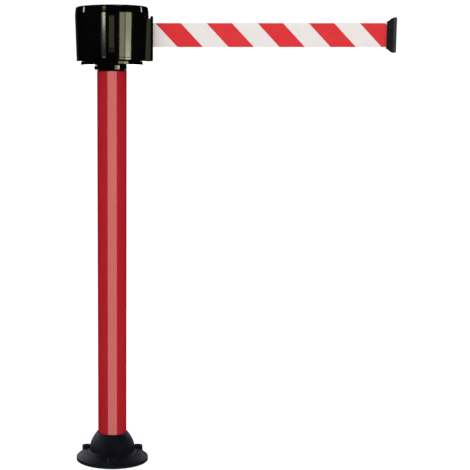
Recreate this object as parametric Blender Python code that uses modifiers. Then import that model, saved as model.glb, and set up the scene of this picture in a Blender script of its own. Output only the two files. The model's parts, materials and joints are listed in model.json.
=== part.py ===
"""A belt barrier post: a floor base, a tube and a cassette head that pays out a striped belt.

The origin is the middle of the base's underside, +Z is up and the belt runs out along +X. Lengths are in
metres. Touching pieces keep CLEARANCE between them, and every height is built up from the floor.
"""

import math

import bmesh
import bpy
from mathutils import Matrix, Vector

MM = 0.001
CLEARANCE = 0.3 * MM
FINE = 48
ROUND = 36
COARSE = 24
SMALL = 16

# Tube
TUBE_RADIUS = 31.75 * MM
TUBE_WALL = 1.5 * MM
TUBE_LENGTH = 842.4 * MM

# Base: a moulded dome on a round flange, with three towers for floor screws
BASE_RADIUS = 80.5 * MM
BASE_RIM_HEIGHT = 7.5 * MM
BASE_WEB = 17.0 * MM
BASE_WALL = 4.0 * MM
DOME_HEIGHT = 63.5 * MM
DOME_FOOT_HEIGHT = 19.5 * MM
DOME_SPREAD = 16.9 * MM
DOME_LIP = 2.3 * MM
DOME_FULLNESS = 2.2
FLANGE_FULLNESS = 1.6
TOWER_CIRCLE = 67.3 * MM
TOWER_RADIUS = 10.5 * MM
TOWER_FLARE = 2.0 * MM
TOWER_FOOT_RADIUS = 9.0 * MM
TOWER_HEIGHT = 22.5 * MM
TOWER_ANGLES = (-90, 30, 150)
ANCHOR_HOLE_RADIUS = 5.0 * MM

# Tie rod that clamps the tube between the base and the head spigot
ROD_RADIUS = 5.0 * MM
INSERT_RADIUS = 8.0 * MM
INSERT_FLOOR = 4.0 * MM
NUT_RADIUS = 9.8 * MM
NUT_HEIGHT = 8.0 * MM
WASHER_RADIUS = 12.0 * MM
WASHER_THICKNESS = 2.0 * MM
ROD_STAND_OUT = 4.0 * MM
PLUG_HEIGHT = 30.0 * MM
PLUG_WALL = 3.5 * MM
PLUG_WEB = 4.0 * MM
SPIGOT_DEPTH = 60.0 * MM
SPIGOT_WEB = 6.0 * MM
SPIGOT_WALL = 3.5 * MM
SPIGOT_RIM = 2.5 * MM
SPIGOT_RISE = 9.5 * MM

# Neck and round disc under the cassette
NECK_HEIGHT = 10.2 * MM
NECK_WALL = 4.5 * MM
NECK_SCREW_RADIUS = 3.0 * MM
NECK_SCREW_SHANK = 9.5 * MM
NECK_SCREW_HEAD = 5.6 * MM
DISC_RADIUS = 66.25 * MM
DISC_THICKNESS = 7.0 * MM
DISC_CHAMFER = 0.6 * MM

# Cassette shell and cap
SHELL_BOTTOM_RADIUS = 75.35 * MM
SHELL_TOP_RADIUS = 78.65 * MM
SHELL_WALL = 2.5 * MM
SHELL_FLOOR = 3.0 * MM
SHELL_FLOOR_OPENING = 52.0 * MM
CAP_HEIGHT = 14.5 * MM
CAP_TOP_RADIUS = 77.1 * MM
CAP_EDGE = 1.6 * MM
CAP_WALL = 3.5 * MM
CAP_LIP_WALL = 2.5 * MM
CAP_LIP_DEPTH = 1.9 * MM
CAP_BOSS_RADIUS = 8.5 * MM
CAP_BOSS_DEPTH = 20.5 * MM
CASE_SCREW_CIRCLE = 59.0 * MM
CASE_SCREW_RADIUS = 2.0 * MM
CASE_SCREW_HEAD_RADIUS = 3.8 * MM
CASE_SCREW_HEAD = 2.5 * MM
CASE_SCREW_SINK = 3.0 * MM
CASE_SCREW_GRIP = 9.5 * MM
CASE_BOSS_RADIUS = 5.0 * MM
CASE_BOSS_HEIGHT = 12.0 * MM
CASE_SCREW_ANGLES = (45, 135, 225, 315)

# Belt, its drum and the power spring
BELT_WIDTH = 50.0 * MM
BELT_THICKNESS = 0.6 * MM
BELT_LENGTH = 3200 * MM
BELT_OUT = 600 * MM
BELT_ROOM_BELOW = 30.7 * MM
BELT_ROOM_ABOVE = 18.2 * MM
BELT_START = 1.0 * MM
HUB_RADIUS = 16.0 * MM
DRUM_FLANGE_LARGEST = 32.0 * MM
DRUM_REAR_PLAY = 1.2 * MM
DRUM_FLANGE = 2.0 * MM
DRUM_SIDE_PLAY = 1.0 * MM
BUSH_WALL = 2.7 * MM
BUSH_LENGTH = 10.0 * MM
SPINDLE_RADIUS = 5.0 * MM
SPINDLE_SEAT = 4.0 * MM
SPINDLE_GRIP = 15.0 * MM
RETAINER_WIDTH = 3.2 * MM
RETAINER_THICKNESS = 1.2 * MM
ARBOR_WALL = 2.3 * MM
BARREL_RADIUS = 31.0 * MM
BARREL_HEIGHT = 20.7 * MM
BARREL_WALL = 1.6 * MM
BARREL_TOP = 2.0 * MM
BARREL_COVER = 1.9 * MM
SPRING_STRIP = 0.6 * MM
SPRING_HEIGHT = 14.0 * MM
SPRING_TURNS = 5
SPRING_POINTS_PER_TURN = 16

# Receiver pockets, which take the clip of another post's belt
RECEIVER_ANGLES = {"front": 0, "left": -90, "rear": 180}
SLOT_WIDTH = 11.3 * MM
SLOT_TOP_MARGIN = 7.0 * MM
SLOT_PLAY = 1.0 * MM
POCKET_BACK = 63.5 * MM
POCKET_WALL = 2.0 * MM
CATCH_RADIUS = 4.5 * MM
CATCH_DEPTH = 4.0 * MM

# Belt outlet on the +X side
OUTLET_HALF_WIDTH = 27.0 * MM
OUTLET_BLOCK_FACE = 82.0 * MM
OUTLET_BLOCK_BOTTOM = 1.7 * MM
OUTLET_BLOCK_TOP = 10.2 * MM
OUTLET_PLATE_THICKNESS = 5.1 * MM
OUTLET_PLATE_MARGIN = 22.0 * MM
OUTLET_PLATE_CORNER = 6.0 * MM
OUTLET_SCREW_Y = 19.5 * MM
OUTLET_SCREW_RADIUS = 1.6 * MM
OUTLET_SCREW_HEAD_RADIUS = 3.0 * MM
OUTLET_SCREW_HEAD = 1.8 * MM
OUTLET_SCREW_LENGTH = 20.0 * MM
NOZZLE_HALF_WIDTH = 12.0 * MM
NOZZLE_WALL = 3.5 * MM
NOZZLE_SLOT_HALF_WIDTH = 2.5 * MM
NOZZLE_SIDE_PLAY = 1.5 * MM
NOZZLE_INNER_END = 58.0 * MM
NOZZLE_RECESS = 0.5 * MM

# Belt clip: half outline above the belt's middle, as (distance from the throat, height)
CLIP_THROAT_X = 586.8 * MM
CLIP_LENGTH = 20.0 * MM
CLIP_THROAT_MARGIN = 3.75 * MM
CLIP_FLARE = 8.25 * MM
CLIP_HALF_THICKNESS = 4.8 * MM
CLIP_FLARE_STEPS = 6
CLIP_BAND = 7.5 * MM
CLIP_PIN_RADIUS = 1.8 * MM
CLIP_PIN_X = 12.0 * MM
CLIP_PIN_REACH = 1.0 * MM
CLIP_SCREW_RADIUS = 1.25 * MM
CLIP_SCREW_HEAD_RADIUS = 2.4 * MM
CLIP_SCREW_HEAD = 1.6 * MM
CLIP_SCREW_SINK = 1.9 * MM
CLIP_SCREW_X = 16.0 * MM
CLIP_SCREW_EDGE = 5.5 * MM

# Heights, from the floor up
TUBE_BOTTOM = BASE_WEB + CLEARANCE
TUBE_TOP = TUBE_BOTTOM + TUBE_LENGTH
RIM_BOTTOM = TUBE_TOP + CLEARANCE
RIM_TOP = RIM_BOTTOM + SPIGOT_RIM
NECK_BOTTOM = RIM_TOP + CLEARANCE
DISC_BOTTOM = NECK_BOTTOM + NECK_HEIGHT
DISC_TOP = DISC_BOTTOM + DISC_THICKNESS
SHELL_BOTTOM = DISC_TOP + CLEARANCE
SHELL_HEIGHT = BELT_ROOM_BELOW + BELT_WIDTH + BELT_ROOM_ABOVE
SHELL_TOP = SHELL_BOTTOM + SHELL_HEIGHT
CAP_BOTTOM = SHELL_TOP + CLEARANCE
CAP_TOP = CAP_BOTTOM + CAP_HEIGHT
NECK_SCREW_Z = (NECK_BOTTOM + DISC_BOTTOM) / 2
SPIGOT_BOTTOM = RIM_BOTTOM - SPIGOT_DEPTH
SPIGOT_TOP = RIM_TOP + SPIGOT_RISE
BELT_Z = SHELL_BOTTOM + BELT_ROOM_BELOW + BELT_WIDTH / 2
BELT_BOTTOM = BELT_Z - BELT_WIDTH / 2
BELT_TOP = BELT_Z + BELT_WIDTH / 2
OUTLET_PLATE_HEIGHT = BELT_WIDTH + 2 * OUTLET_PLATE_MARGIN
CLIP_THROAT_HALF_HEIGHT = BELT_WIDTH / 2 + CLIP_THROAT_MARGIN
CLIP_END_HALF_HEIGHT = CLIP_THROAT_HALF_HEIGHT + CLIP_FLARE
SLOT_TOP = SHELL_TOP - SLOT_TOP_MARGIN
SLOT_BOTTOM = SLOT_TOP - 2 * CLIP_END_HALF_HEIGHT - SLOT_PLAY

# The drum stands to one side, so that the belt leaves the roll straight through the outlet
WOUND_AREA = (BELT_LENGTH - BELT_OUT) * BELT_THICKNESS
ROLL_BORE = HUB_RADIUS + CLEARANCE
ROLL_RADIUS = math.sqrt(ROLL_BORE**2 + WOUND_AREA / math.pi)
DRUM_Y = ROLL_RADIUS + BELT_THICKNESS / 2 + CLEARANCE
DRUM_REAR_ROOM = POCKET_BACK - POCKET_WALL - DRUM_REAR_PLAY - DRUM_Y
DRUM_FLANGE_RADIUS = min(DRUM_FLANGE_LARGEST, DRUM_REAR_ROOM)
SPINDLE_BORE = SPINDLE_RADIUS + CLEARANCE
BUSH_RADIUS = SPINDLE_BORE + BUSH_WALL
DRUM_BORE = BUSH_RADIUS + CLEARANCE
DRUM_BOTTOM = BELT_BOTTOM - DRUM_SIDE_PLAY - DRUM_FLANGE
HUB_TOP = BELT_TOP + DRUM_SIDE_PLAY - CLEARANCE
TOP_FLANGE_BOTTOM = HUB_TOP + CLEARANCE
TOP_FLANGE_TOP = TOP_FLANGE_BOTTOM + DRUM_FLANGE
BARREL_CEILING = DRUM_BOTTOM - CLEARANCE
BARREL_BOTTOM = BARREL_CEILING - BARREL_HEIGHT
ARBOR_RADIUS = SPINDLE_BORE + ARBOR_WALL


def clear_scene():
    for obj in list(bpy.data.objects):
        bpy.data.objects.remove(obj, do_unlink=True)


def new_collection(name):
    collection = bpy.data.collections.new(name)
    bpy.context.scene.collection.children.link(collection)
    return collection


def new_material(name, colour, roughness, metallic=0.0):
    material = bpy.data.materials.new(name)
    material.use_nodes = True
    shader = material.node_tree.nodes["Principled BSDF"]
    shader.inputs["Base Color"].default_value = (*colour, 1)
    shader.inputs["Roughness"].default_value = roughness
    shader.inputs["Metallic"].default_value = metallic
    return material


clear_scene()
PARTS = new_collection("belt_barrier_post")
CUTTERS = new_collection("cutters")

RED_PAINT = new_material("red_paint", (0.42, 0.015, 0.025), 0.3)
BLACK_GLOSS = new_material("black_gloss", (0.008, 0.008, 0.009), 0.12)
BLACK_MATT = new_material("black_matt", (0.02, 0.021, 0.026), 0.6)
DARK_GREY = new_material("dark_grey", (0.028, 0.028, 0.03), 0.45)
INNER_PLASTIC = new_material("inner_plastic", (0.35, 0.35, 0.34), 0.5)
STEEL = new_material("zinc_steel", (0.55, 0.55, 0.56), 0.35, 1.0)
BRASS = new_material("brass", (0.6, 0.42, 0.16), 0.35, 1.0)
BELT_FABRIC = new_material("belt_fabric", (0.7, 0.02, 0.03), 0.8)


def place(obj, collection, material=None, at=(0, 0, 0), turn=(0, 0, 0)):
    """Put an object in its collection, at its place."""
    collection.objects.link(obj)
    obj.location = at
    obj.rotation_euler = turn
    if material:
        obj.data.materials.append(material)
    if collection == CUTTERS:
        obj.hide_render = True
        obj.display_type = "WIRE"
    return obj


def cutter(obj, at=(0, 0, 0), turn=(0, 0, 0)):
    return place(obj, CUTTERS, at=at, turn=turn)


def mesh_object(name, fill):
    """An object whose mesh is made by fill(bm)."""
    bm = bmesh.new()
    fill(bm)
    mesh = bpy.data.meshes.new(name)
    bm.to_mesh(mesh)
    bm.free()
    return bpy.data.objects.new(name, mesh)


def cylinder(name, radius, bottom, top, segments=SMALL):
    """An upright cylinder on the object's own Z axis."""
    middle = Matrix.Translation((0, 0, (bottom + top) / 2))

    def fill(bm):
        bmesh.ops.create_cone(
            bm,
            cap_ends=True,
            segments=segments,
            radius1=radius,
            radius2=radius,
            depth=top - bottom,
            matrix=middle,
        )

    return mesh_object(name, fill)


def block(name, low, high):
    """A box between two corners."""
    low, high = Vector(low), Vector(high)
    size = Matrix.Diagonal((*(high - low), 1))

    def fill(bm):
        bmesh.ops.create_cube(bm, size=1, matrix=Matrix.Translation((low + high) / 2) @ size)

    return mesh_object(name, fill)


def turned(name, profile, segments=COARSE, closed=True):
    """A turned shape: the profile, as (radius, height), runs down its outer side."""
    mesh = bpy.data.meshes.new(name)
    edges = [(i, i + 1) for i in range(len(profile) - 1)]
    if closed:
        edges.append((len(profile) - 1, 0))
    mesh.from_pydata([(radius, 0, height) for radius, height in profile], edges, [])
    obj = bpy.data.objects.new(name, mesh)
    screw = obj.modifiers.new("turn", "SCREW")
    screw.axis = "Z"
    screw.angle = 2 * math.pi
    screw.steps = segments
    screw.render_steps = segments
    screw.use_merge_vertices = True
    screw.merge_threshold = 0.1 * MM
    screw.use_smooth_shade = False
    return obj


def ring(name, inner, outer, bottom, top, segments=COARSE):
    """A plain tube, washer or bush."""
    profile = [(outer, top), (outer, bottom), (inner, bottom), (inner, top)]
    return turned(name, profile, segments)


def slab(name, outline, thickness):
    """A flat outline in the object's XY plane, thickened along its Z, as a mesh."""
    curve = bpy.data.curves.new(name, "CURVE")
    curve.dimensions = "2D"
    curve.fill_mode = "BOTH"
    curve.extrude = thickness / 2
    spline = curve.splines.new("POLY")
    spline.points.add(len(outline) - 1)
    for point, (x, y) in zip(spline.points, outline):
        point.co = (x, y, 0, 1)
    spline.use_cyclic_u = True
    draft = bpy.data.objects.new(name + "_outline", curve)
    CUTTERS.objects.link(draft)
    bpy.context.view_layer.update()
    graph = bpy.context.evaluated_depsgraph_get()
    mesh = bpy.data.meshes.new_from_object(draft.evaluated_get(graph))
    bpy.data.objects.remove(draft, do_unlink=True)
    bm = bmesh.new()
    bm.from_mesh(mesh)
    bmesh.ops.remove_doubles(bm, verts=bm.verts, dist=0.01 * MM)
    bmesh.ops.recalc_face_normals(bm, faces=bm.faces)
    bm.to_mesh(mesh)
    bm.free()
    return bpy.data.objects.new(name, mesh)


def boolean(obj, other, operation):
    modifier = obj.modifiers.new(f"{operation.lower()}_{other.name}", "BOOLEAN")
    modifier.operation = operation
    modifier.object = other
    modifier.solver = "EXACT"


def cut(obj, *others):
    for other in others:
        boolean(obj, other, "DIFFERENCE")


def join(obj, *others):
    for other in others:
        boolean(obj, other, "UNION")


def on_circle(radius, degrees):
    angle = math.radians(degrees)
    return radius * math.cos(angle), radius * math.sin(angle)


def shell_radius(height):
    """Outer radius of the tapered cassette shell at a height above the floor."""
    share = (height - SHELL_BOTTOM) / (CAP_BOTTOM - SHELL_BOTTOM)
    return SHELL_BOTTOM_RADIUS + share * (SHELL_TOP_RADIUS - SHELL_BOTTOM_RADIUS)


def shell_cone(name, offset, segments=FINE):
    """A solid of the shell's outer taper, made larger or smaller by offset."""
    low = SHELL_BOTTOM - CAP_HEIGHT
    high = CAP_TOP
    profile = [
        (0, high),
        (shell_radius(high) + offset, high),
        (shell_radius(low) + offset, low),
        (0, low),
    ]
    return cutter(turned(name, profile, segments, closed=False))


# ---------------------------------------------------------------- base and tube


def dome_outline(steps=7):
    """The dome's outer side, from its top lip down to its foot."""
    lip = TUBE_RADIUS + CLEARANCE + DOME_LIP
    rise = DOME_HEIGHT - DOME_FOOT_HEIGHT
    points = []
    for step in range(steps):
        share = 1 - step / (steps - 1)
        radius = lip + DOME_SPREAD * (1 - share**DOME_FULLNESS)
        points.append((radius, DOME_FOOT_HEIGHT + rise * share))
    return points


def flange_height(radius):
    """Height of the flange's upper side, which falls away towards the rim."""
    foot = TUBE_RADIUS + CLEARANCE + DOME_LIP + DOME_SPREAD
    share = (radius - foot) / (BASE_RADIUS - foot)
    return BASE_RIM_HEIGHT + (DOME_FOOT_HEIGHT - BASE_RIM_HEIGHT) * (1 - share**FLANGE_FULLNESS)


def base_profile():
    """Half section: rod pocket, tube socket, dome, flange, hollow underside, floor disc."""
    socket = TUBE_RADIUS + CLEARANCE
    foot = socket + DOME_LIP + DOME_SPREAD
    dome = dome_outline()
    flange_radii = [foot + (BASE_RADIUS - foot) * share for share in (0.35, 0.7, 1)]
    flange = [(radius, flange_height(radius)) for radius in flange_radii]
    rim_inside = BASE_RADIUS - BASE_WALL
    inside_flange = [
        (rim_inside, 0),
        (rim_inside, flange_height(rim_inside) - BASE_WALL),
        (foot, DOME_FOOT_HEIGHT - BASE_WALL),
    ]
    inside_dome = [(radius - BASE_WALL, height) for radius, height in (dome[5], dome[3])]
    socket_wall = socket + BASE_WALL
    pocket = INSERT_RADIUS + CLEARANCE
    return [
        (0, INSERT_FLOOR),
        (pocket, INSERT_FLOOR),
        (pocket, BASE_WEB),
        (socket, BASE_WEB),
        (socket, DOME_HEIGHT),
        *dome,
        *flange,
        (BASE_RADIUS, 0),
        *inside_flange,
        *inside_dome,
        (socket_wall, dome[2][1]),
        (socket_wall, 0),
        (0, 0),
    ]


def tower(name, degrees):
    """A screw tower that stands on the floor and flares where it meets the flange."""
    flare = TOWER_RADIUS + TOWER_FLARE
    edge = 0.7 * MM
    profile = [
        (0, TOWER_HEIGHT),
        (TOWER_RADIUS - edge, TOWER_HEIGHT),
        (TOWER_RADIUS, TOWER_HEIGHT - edge),
        (TOWER_RADIUS, DOME_FOOT_HEIGHT - 2 * TOWER_FLARE),
        (flare, BASE_RIM_HEIGHT + TOWER_FLARE),
        (flare, BASE_RIM_HEIGHT - 1 * MM),
        (TOWER_FOOT_RADIUS, BASE_RIM_HEIGHT - TOWER_FLARE),
        (TOWER_FOOT_RADIUS, 0),
        (0, 0),
    ]
    x, y = on_circle(TOWER_CIRCLE, degrees)
    return cutter(turned(name, profile, SMALL, closed=False), at=(x, y, 0))


def make_base():
    base = place(turned("base_casting", base_profile(), ROUND, closed=False), PARTS, BLACK_MATT)
    for number, degrees in enumerate(TOWER_ANGLES, 1):
        join(base, tower(f"tower_{number}", degrees))
    for number, degrees in enumerate(TOWER_ANGLES, 1):
        x, y = on_circle(TOWER_CIRCLE, degrees)
        hole = cylinder(f"anchor_hole_{number}", ANCHOR_HOLE_RADIUS, -1 * MM, TOWER_HEIGHT + 1 * MM)
        cut(base, cutter(hole, at=(x, y, 0)))


def make_tube():
    inner = TUBE_RADIUS - TUBE_WALL
    place(ring("post_tube", inner, TUBE_RADIUS, TUBE_BOTTOM, TUBE_TOP, FINE), PARTS, RED_PAINT)


def make_tie_rod():
    """The rod screws into the base and its nut pulls the spigot down on the tube."""
    insert = ring(
        "rod_insert",
        ROD_RADIUS + CLEARANCE,
        INSERT_RADIUS,
        INSERT_FLOOR + CLEARANCE,
        BASE_WEB - CLEARANCE,
        SMALL,
    )
    place(insert, PARTS, BRASS)
    bore = TUBE_RADIUS - TUBE_WALL - CLEARANCE
    top = TUBE_BOTTOM + PLUG_HEIGHT
    plug_profile = [
        (bore, top),
        (bore, TUBE_BOTTOM),
        (ROD_RADIUS + CLEARANCE, TUBE_BOTTOM),
        (ROD_RADIUS + CLEARANCE, TUBE_BOTTOM + PLUG_WEB),
        (bore - PLUG_WALL, TUBE_BOTTOM + PLUG_WEB),
        (bore - PLUG_WALL, top),
    ]
    place(turned("tube_plug", plug_profile), PARTS, INNER_PLASTIC)
    washer_bottom = SPIGOT_BOTTOM + SPIGOT_WEB + CLEARANCE
    washer_top = washer_bottom + WASHER_THICKNESS
    washer = ring(
        "rod_washer", ROD_RADIUS + CLEARANCE, WASHER_RADIUS, washer_bottom, washer_top, SMALL
    )
    place(washer, PARTS, STEEL)
    nut_bottom = washer_top + CLEARANCE
    nut_top = nut_bottom + NUT_HEIGHT
    nut = place(cylinder("rod_nut", NUT_RADIUS, nut_bottom, nut_top, 6), PARTS, STEEL)
    thread = cylinder("nut_thread", ROD_RADIUS + CLEARANCE, SPIGOT_BOTTOM, RIM_TOP)
    cut(nut, cutter(thread))
    rod = cylinder(
        "tie_rod", ROD_RADIUS, INSERT_FLOOR + CLEARANCE, nut_top + ROD_STAND_OUT, SMALL
    )
    place(rod, PARTS, STEEL)


def neck_screw_hole():
    """One hole through the neck and the spigot, on the -X side."""
    hole = cylinder("neck_screw_hole", NECK_SCREW_RADIUS + CLEARANCE, 0, 2 * NECK_SCREW_SHANK)
    reach = TUBE_RADIUS + NECK_SCREW_SHANK / 2
    return cutter(hole, at=(-reach, 0, NECK_SCREW_Z), turn=(0, math.pi / 2, 0))


def make_spigot():
    bore = TUBE_RADIUS - TUBE_WALL - CLEARANCE
    neck_bore = TUBE_RADIUS - NECK_WALL - CLEARANCE
    inside = neck_bore - SPIGOT_WALL
    profile = [
        (neck_bore, SPIGOT_TOP),
        (neck_bore, RIM_TOP),
        (TUBE_RADIUS, RIM_TOP),
        (TUBE_RADIUS, RIM_BOTTOM),
        (bore, RIM_BOTTOM),
        (bore, SPIGOT_BOTTOM),
        (ROD_RADIUS + CLEARANCE, SPIGOT_BOTTOM),
        (ROD_RADIUS + CLEARANCE, SPIGOT_BOTTOM + SPIGOT_WEB),
        (inside, SPIGOT_BOTTOM + SPIGOT_WEB),
        (inside, SPIGOT_TOP),
    ]
    spigot = place(turned("head_spigot", profile, ROUND), PARTS, BLACK_GLOSS)
    cut(spigot, neck_screw_hole())


def make_neck_screw():
    """A button-head screw that locks the head on the spigot."""
    head_radius = NECK_HEIGHT / 2 - CLEARANCE
    socket = 0.4 * head_radius
    profile = [
        (0, 0.55 * NECK_SCREW_HEAD),
        (socket, 0.55 * NECK_SCREW_HEAD),
        (socket, NECK_SCREW_HEAD),
        (0.8 * head_radius, 0.7 * NECK_SCREW_HEAD),
        (head_radius, 0.3 * NECK_SCREW_HEAD),
        (head_radius, 0),
        (NECK_SCREW_RADIUS, 0),
        (NECK_SCREW_RADIUS, -NECK_SCREW_SHANK),
        (0, -NECK_SCREW_SHANK),
    ]
    screw = turned("neck_screw", profile, SMALL, closed=False)
    at = (-TUBE_RADIUS - CLEARANCE, 0, NECK_SCREW_Z)
    place(screw, PARTS, STEEL, at=at, turn=(0, -math.pi / 2, 0))


# ---------------------------------------------------------------- cassette case


def make_cassette_base():
    """The disc under the cassette, with the neck that sits on the tube's top."""
    neck_bore = TUBE_RADIUS - NECK_WALL
    profile = [
        (0, DISC_TOP),
        (DISC_RADIUS, DISC_TOP),
        (DISC_RADIUS, DISC_BOTTOM + DISC_CHAMFER),
        (DISC_RADIUS - DISC_CHAMFER, DISC_BOTTOM),
        (TUBE_RADIUS, DISC_BOTTOM),
        (TUBE_RADIUS, NECK_BOTTOM),
        (neck_bore, NECK_BOTTOM),
        (neck_bore, SPIGOT_TOP + CLEARANCE),
        (0, SPIGOT_TOP + CLEARANCE),
    ]
    base = place(turned("cassette_base", profile, FINE, closed=False), PARTS, BLACK_GLOSS)
    seat = cylinder("spindle_seat", SPINDLE_BORE, DISC_TOP - SPINDLE_SEAT, DISC_TOP + 1 * MM)
    cut(base, cutter(seat, at=(0, DRUM_Y, 0)), neck_screw_hole())
    for number, degrees in enumerate(CASE_SCREW_ANGLES, 1):
        x, y = on_circle(CASE_SCREW_CIRCLE, degrees)
        hole = cylinder(
            f"case_hole_{number}",
            CASE_SCREW_RADIUS + CLEARANCE,
            DISC_BOTTOM - 1 * MM,
            DISC_TOP + 1 * MM,
        )
        sink = cylinder(
            f"case_sink_{number}",
            CASE_SCREW_HEAD_RADIUS + CLEARANCE,
            DISC_BOTTOM - 1 * MM,
            DISC_BOTTOM + CASE_SCREW_SINK,
        )
        cut(base, cutter(sink, at=(x, y, 0)), cutter(hole, at=(x, y, 0)))


def make_case_screws():
    head_top = DISC_BOTTOM + CASE_SCREW_SINK - CLEARANCE
    head_bottom = head_top - CASE_SCREW_HEAD
    tip = SHELL_BOTTOM + CASE_SCREW_GRIP
    edge = 0.6 * MM
    profile = [
        (0, tip),
        (CASE_SCREW_RADIUS, tip),
        (CASE_SCREW_RADIUS, head_top),
        (CASE_SCREW_HEAD_RADIUS, head_top),
        (CASE_SCREW_HEAD_RADIUS, head_bottom + edge),
        (CASE_SCREW_HEAD_RADIUS - edge, head_bottom),
        (0, head_bottom),
    ]
    for number, degrees in enumerate(CASE_SCREW_ANGLES, 1):
        x, y = on_circle(CASE_SCREW_CIRCLE, degrees)
        screw = turned(f"case_screw_{number}", profile, SMALL, closed=False)
        place(screw, PARTS, STEEL, at=(x, y, 0))


def nozzle_window(name, clearance):
    """The hole that the belt nozzle goes through, in the shell, the block and the plate."""
    half_height = BELT_WIDTH / 2 + NOZZLE_SIDE_PLAY + NOZZLE_WALL + clearance
    half_width = NOZZLE_HALF_WIDTH + clearance
    low = (NOZZLE_INNER_END, -half_width, BELT_Z - half_height)
    high = (OUTLET_BLOCK_FACE + 2 * OUTLET_PLATE_THICKNESS, half_width, BELT_Z + half_height)
    return block(name, low, high)


def outlet_screw_hole(name, side, radius, start):
    """A hole along X for one of the outlet's two screws."""
    hole = cylinder(name, radius, 0, 2 * OUTLET_SCREW_LENGTH)
    return cutter(hole, at=(start, side * OUTLET_SCREW_Y, BELT_Z), turn=(0, math.pi / 2, 0))


def slot_cutter(name, degrees, depth):
    """The upright slot of a receiver, from outside the shell to a depth from the axis."""
    low = (-SLOT_WIDTH / 2, -shell_radius(CAP_TOP) - 5 * MM, SLOT_BOTTOM)
    high = (SLOT_WIDTH / 2, -depth, SLOT_TOP)
    return cutter(block(name, low, high), turn=(0, 0, math.radians(degrees)))


def make_shell():
    inside = SHELL_BOTTOM + SHELL_FLOOR
    profile = [
        (shell_radius(SHELL_TOP), SHELL_TOP),
        (shell_radius(SHELL_BOTTOM), SHELL_BOTTOM),
        (SHELL_FLOOR_OPENING, SHELL_BOTTOM),
        (SHELL_FLOOR_OPENING, inside),
        (shell_radius(inside) - SHELL_WALL, inside),
        (shell_radius(SHELL_TOP) - SHELL_WALL, SHELL_TOP),
    ]
    shell = place(turned("cassette_shell", profile, FINE), PARTS, BLACK_GLOSS)
    for number, degrees in enumerate(CASE_SCREW_ANGLES, 1):
        x, y = on_circle(CASE_SCREW_CIRCLE, degrees)
        top = SHELL_BOTTOM + CASE_BOSS_HEIGHT
        boss = cylinder(f"case_boss_{number}", CASE_BOSS_RADIUS, SHELL_BOTTOM + 1 * MM, top)
        join(shell, cutter(boss, at=(x, y, 0)))
    for number, degrees in enumerate(CASE_SCREW_ANGLES, 1):
        x, y = on_circle(CASE_SCREW_CIRCLE, degrees)
        bore = cylinder(
            f"case_bore_{number}",
            CASE_SCREW_RADIUS + CLEARANCE,
            SHELL_BOTTOM - 1 * MM,
            SHELL_BOTTOM + CASE_BOSS_HEIGHT + 1 * MM,
        )
        cut(shell, cutter(bore, at=(x, y, 0)))
    for side, degrees in RECEIVER_ANGLES.items():
        cut(shell, slot_cutter(f"shell_slot_{side}", degrees, POCKET_BACK))
    cut(shell, cutter(nozzle_window("shell_window", CLEARANCE)))
    for side in (-1, 1):
        radius = OUTLET_SCREW_RADIUS + CLEARANCE
        cut(shell, outlet_screw_hole(f"shell_outlet_hole_{side}", side, radius, NOZZLE_INNER_END))


def make_cap():
    """A lid whose lip sits inside the shell and whose boss holds the spindle's top."""
    lip = shell_radius(SHELL_TOP) - SHELL_WALL - 2 * CLEARANCE
    lip_bottom = CAP_BOTTOM - CAP_LIP_DEPTH
    ceiling = CAP_TOP - CAP_WALL
    profile = [
        (0, CAP_TOP),
        (CAP_TOP_RADIUS - CAP_EDGE, CAP_TOP),
        (CAP_TOP_RADIUS - 0.3 * CAP_EDGE, CAP_TOP - 0.3 * CAP_EDGE),
        (CAP_TOP_RADIUS, CAP_TOP - CAP_EDGE),
        (SHELL_TOP_RADIUS, CAP_BOTTOM),
        (lip, CAP_BOTTOM),
        (lip, lip_bottom),
        (lip - CAP_LIP_WALL, lip_bottom),
        (lip - CAP_LIP_WALL, ceiling),
        (0, ceiling),
    ]
    cap = place(turned("cassette_cap", profile, FINE, closed=False), PARTS, BLACK_GLOSS)
    boss = cylinder("cap_boss", CAP_BOSS_RADIUS, ceiling - CAP_BOSS_DEPTH, ceiling + 1 * MM)
    join(cap, cutter(boss, at=(0, DRUM_Y, 0)))
    bore = cylinder("cap_bore", SPINDLE_BORE, ceiling - CAP_BOSS_DEPTH - 1 * MM, ceiling)
    cut(cap, cutter(bore, at=(0, DRUM_Y, 0)))


def make_receiver(side, degrees):
    """A pocket behind a slot, cut to the shell's inside, with a round catch at its foot."""
    half = SLOT_WIDTH / 2 + POCKET_WALL
    back = POCKET_BACK - POCKET_WALL
    low = (-half, -shell_radius(CAP_TOP), SLOT_BOTTOM - POCKET_WALL)
    high = (half, -back, SLOT_TOP + POCKET_WALL)
    turn = (0, 0, math.radians(degrees))
    pocket = place(block(f"receiver_{side}", low, high), PARTS, DARK_GREY, turn=turn)
    boolean(pocket, shell_cone(f"shell_inside_{side}", -SHELL_WALL - CLEARANCE), "INTERSECT")
    cut(pocket, slot_cutter(f"pocket_slot_{side}", degrees, POCKET_BACK))
    catch = cylinder(f"catch_{side}", CATCH_RADIUS, 0, CATCH_DEPTH + POCKET_WALL / 2)
    x, y = on_circle(POCKET_BACK - POCKET_WALL / 2, degrees - 90)
    catch_z = SLOT_BOTTOM + SLOT_WIDTH / 2
    catch_turn = (math.pi / 2, 0, math.radians(degrees))
    join(pocket, cutter(catch, at=(x, y, catch_z), turn=catch_turn))


# ---------------------------------------------------------------- belt outlet


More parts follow.
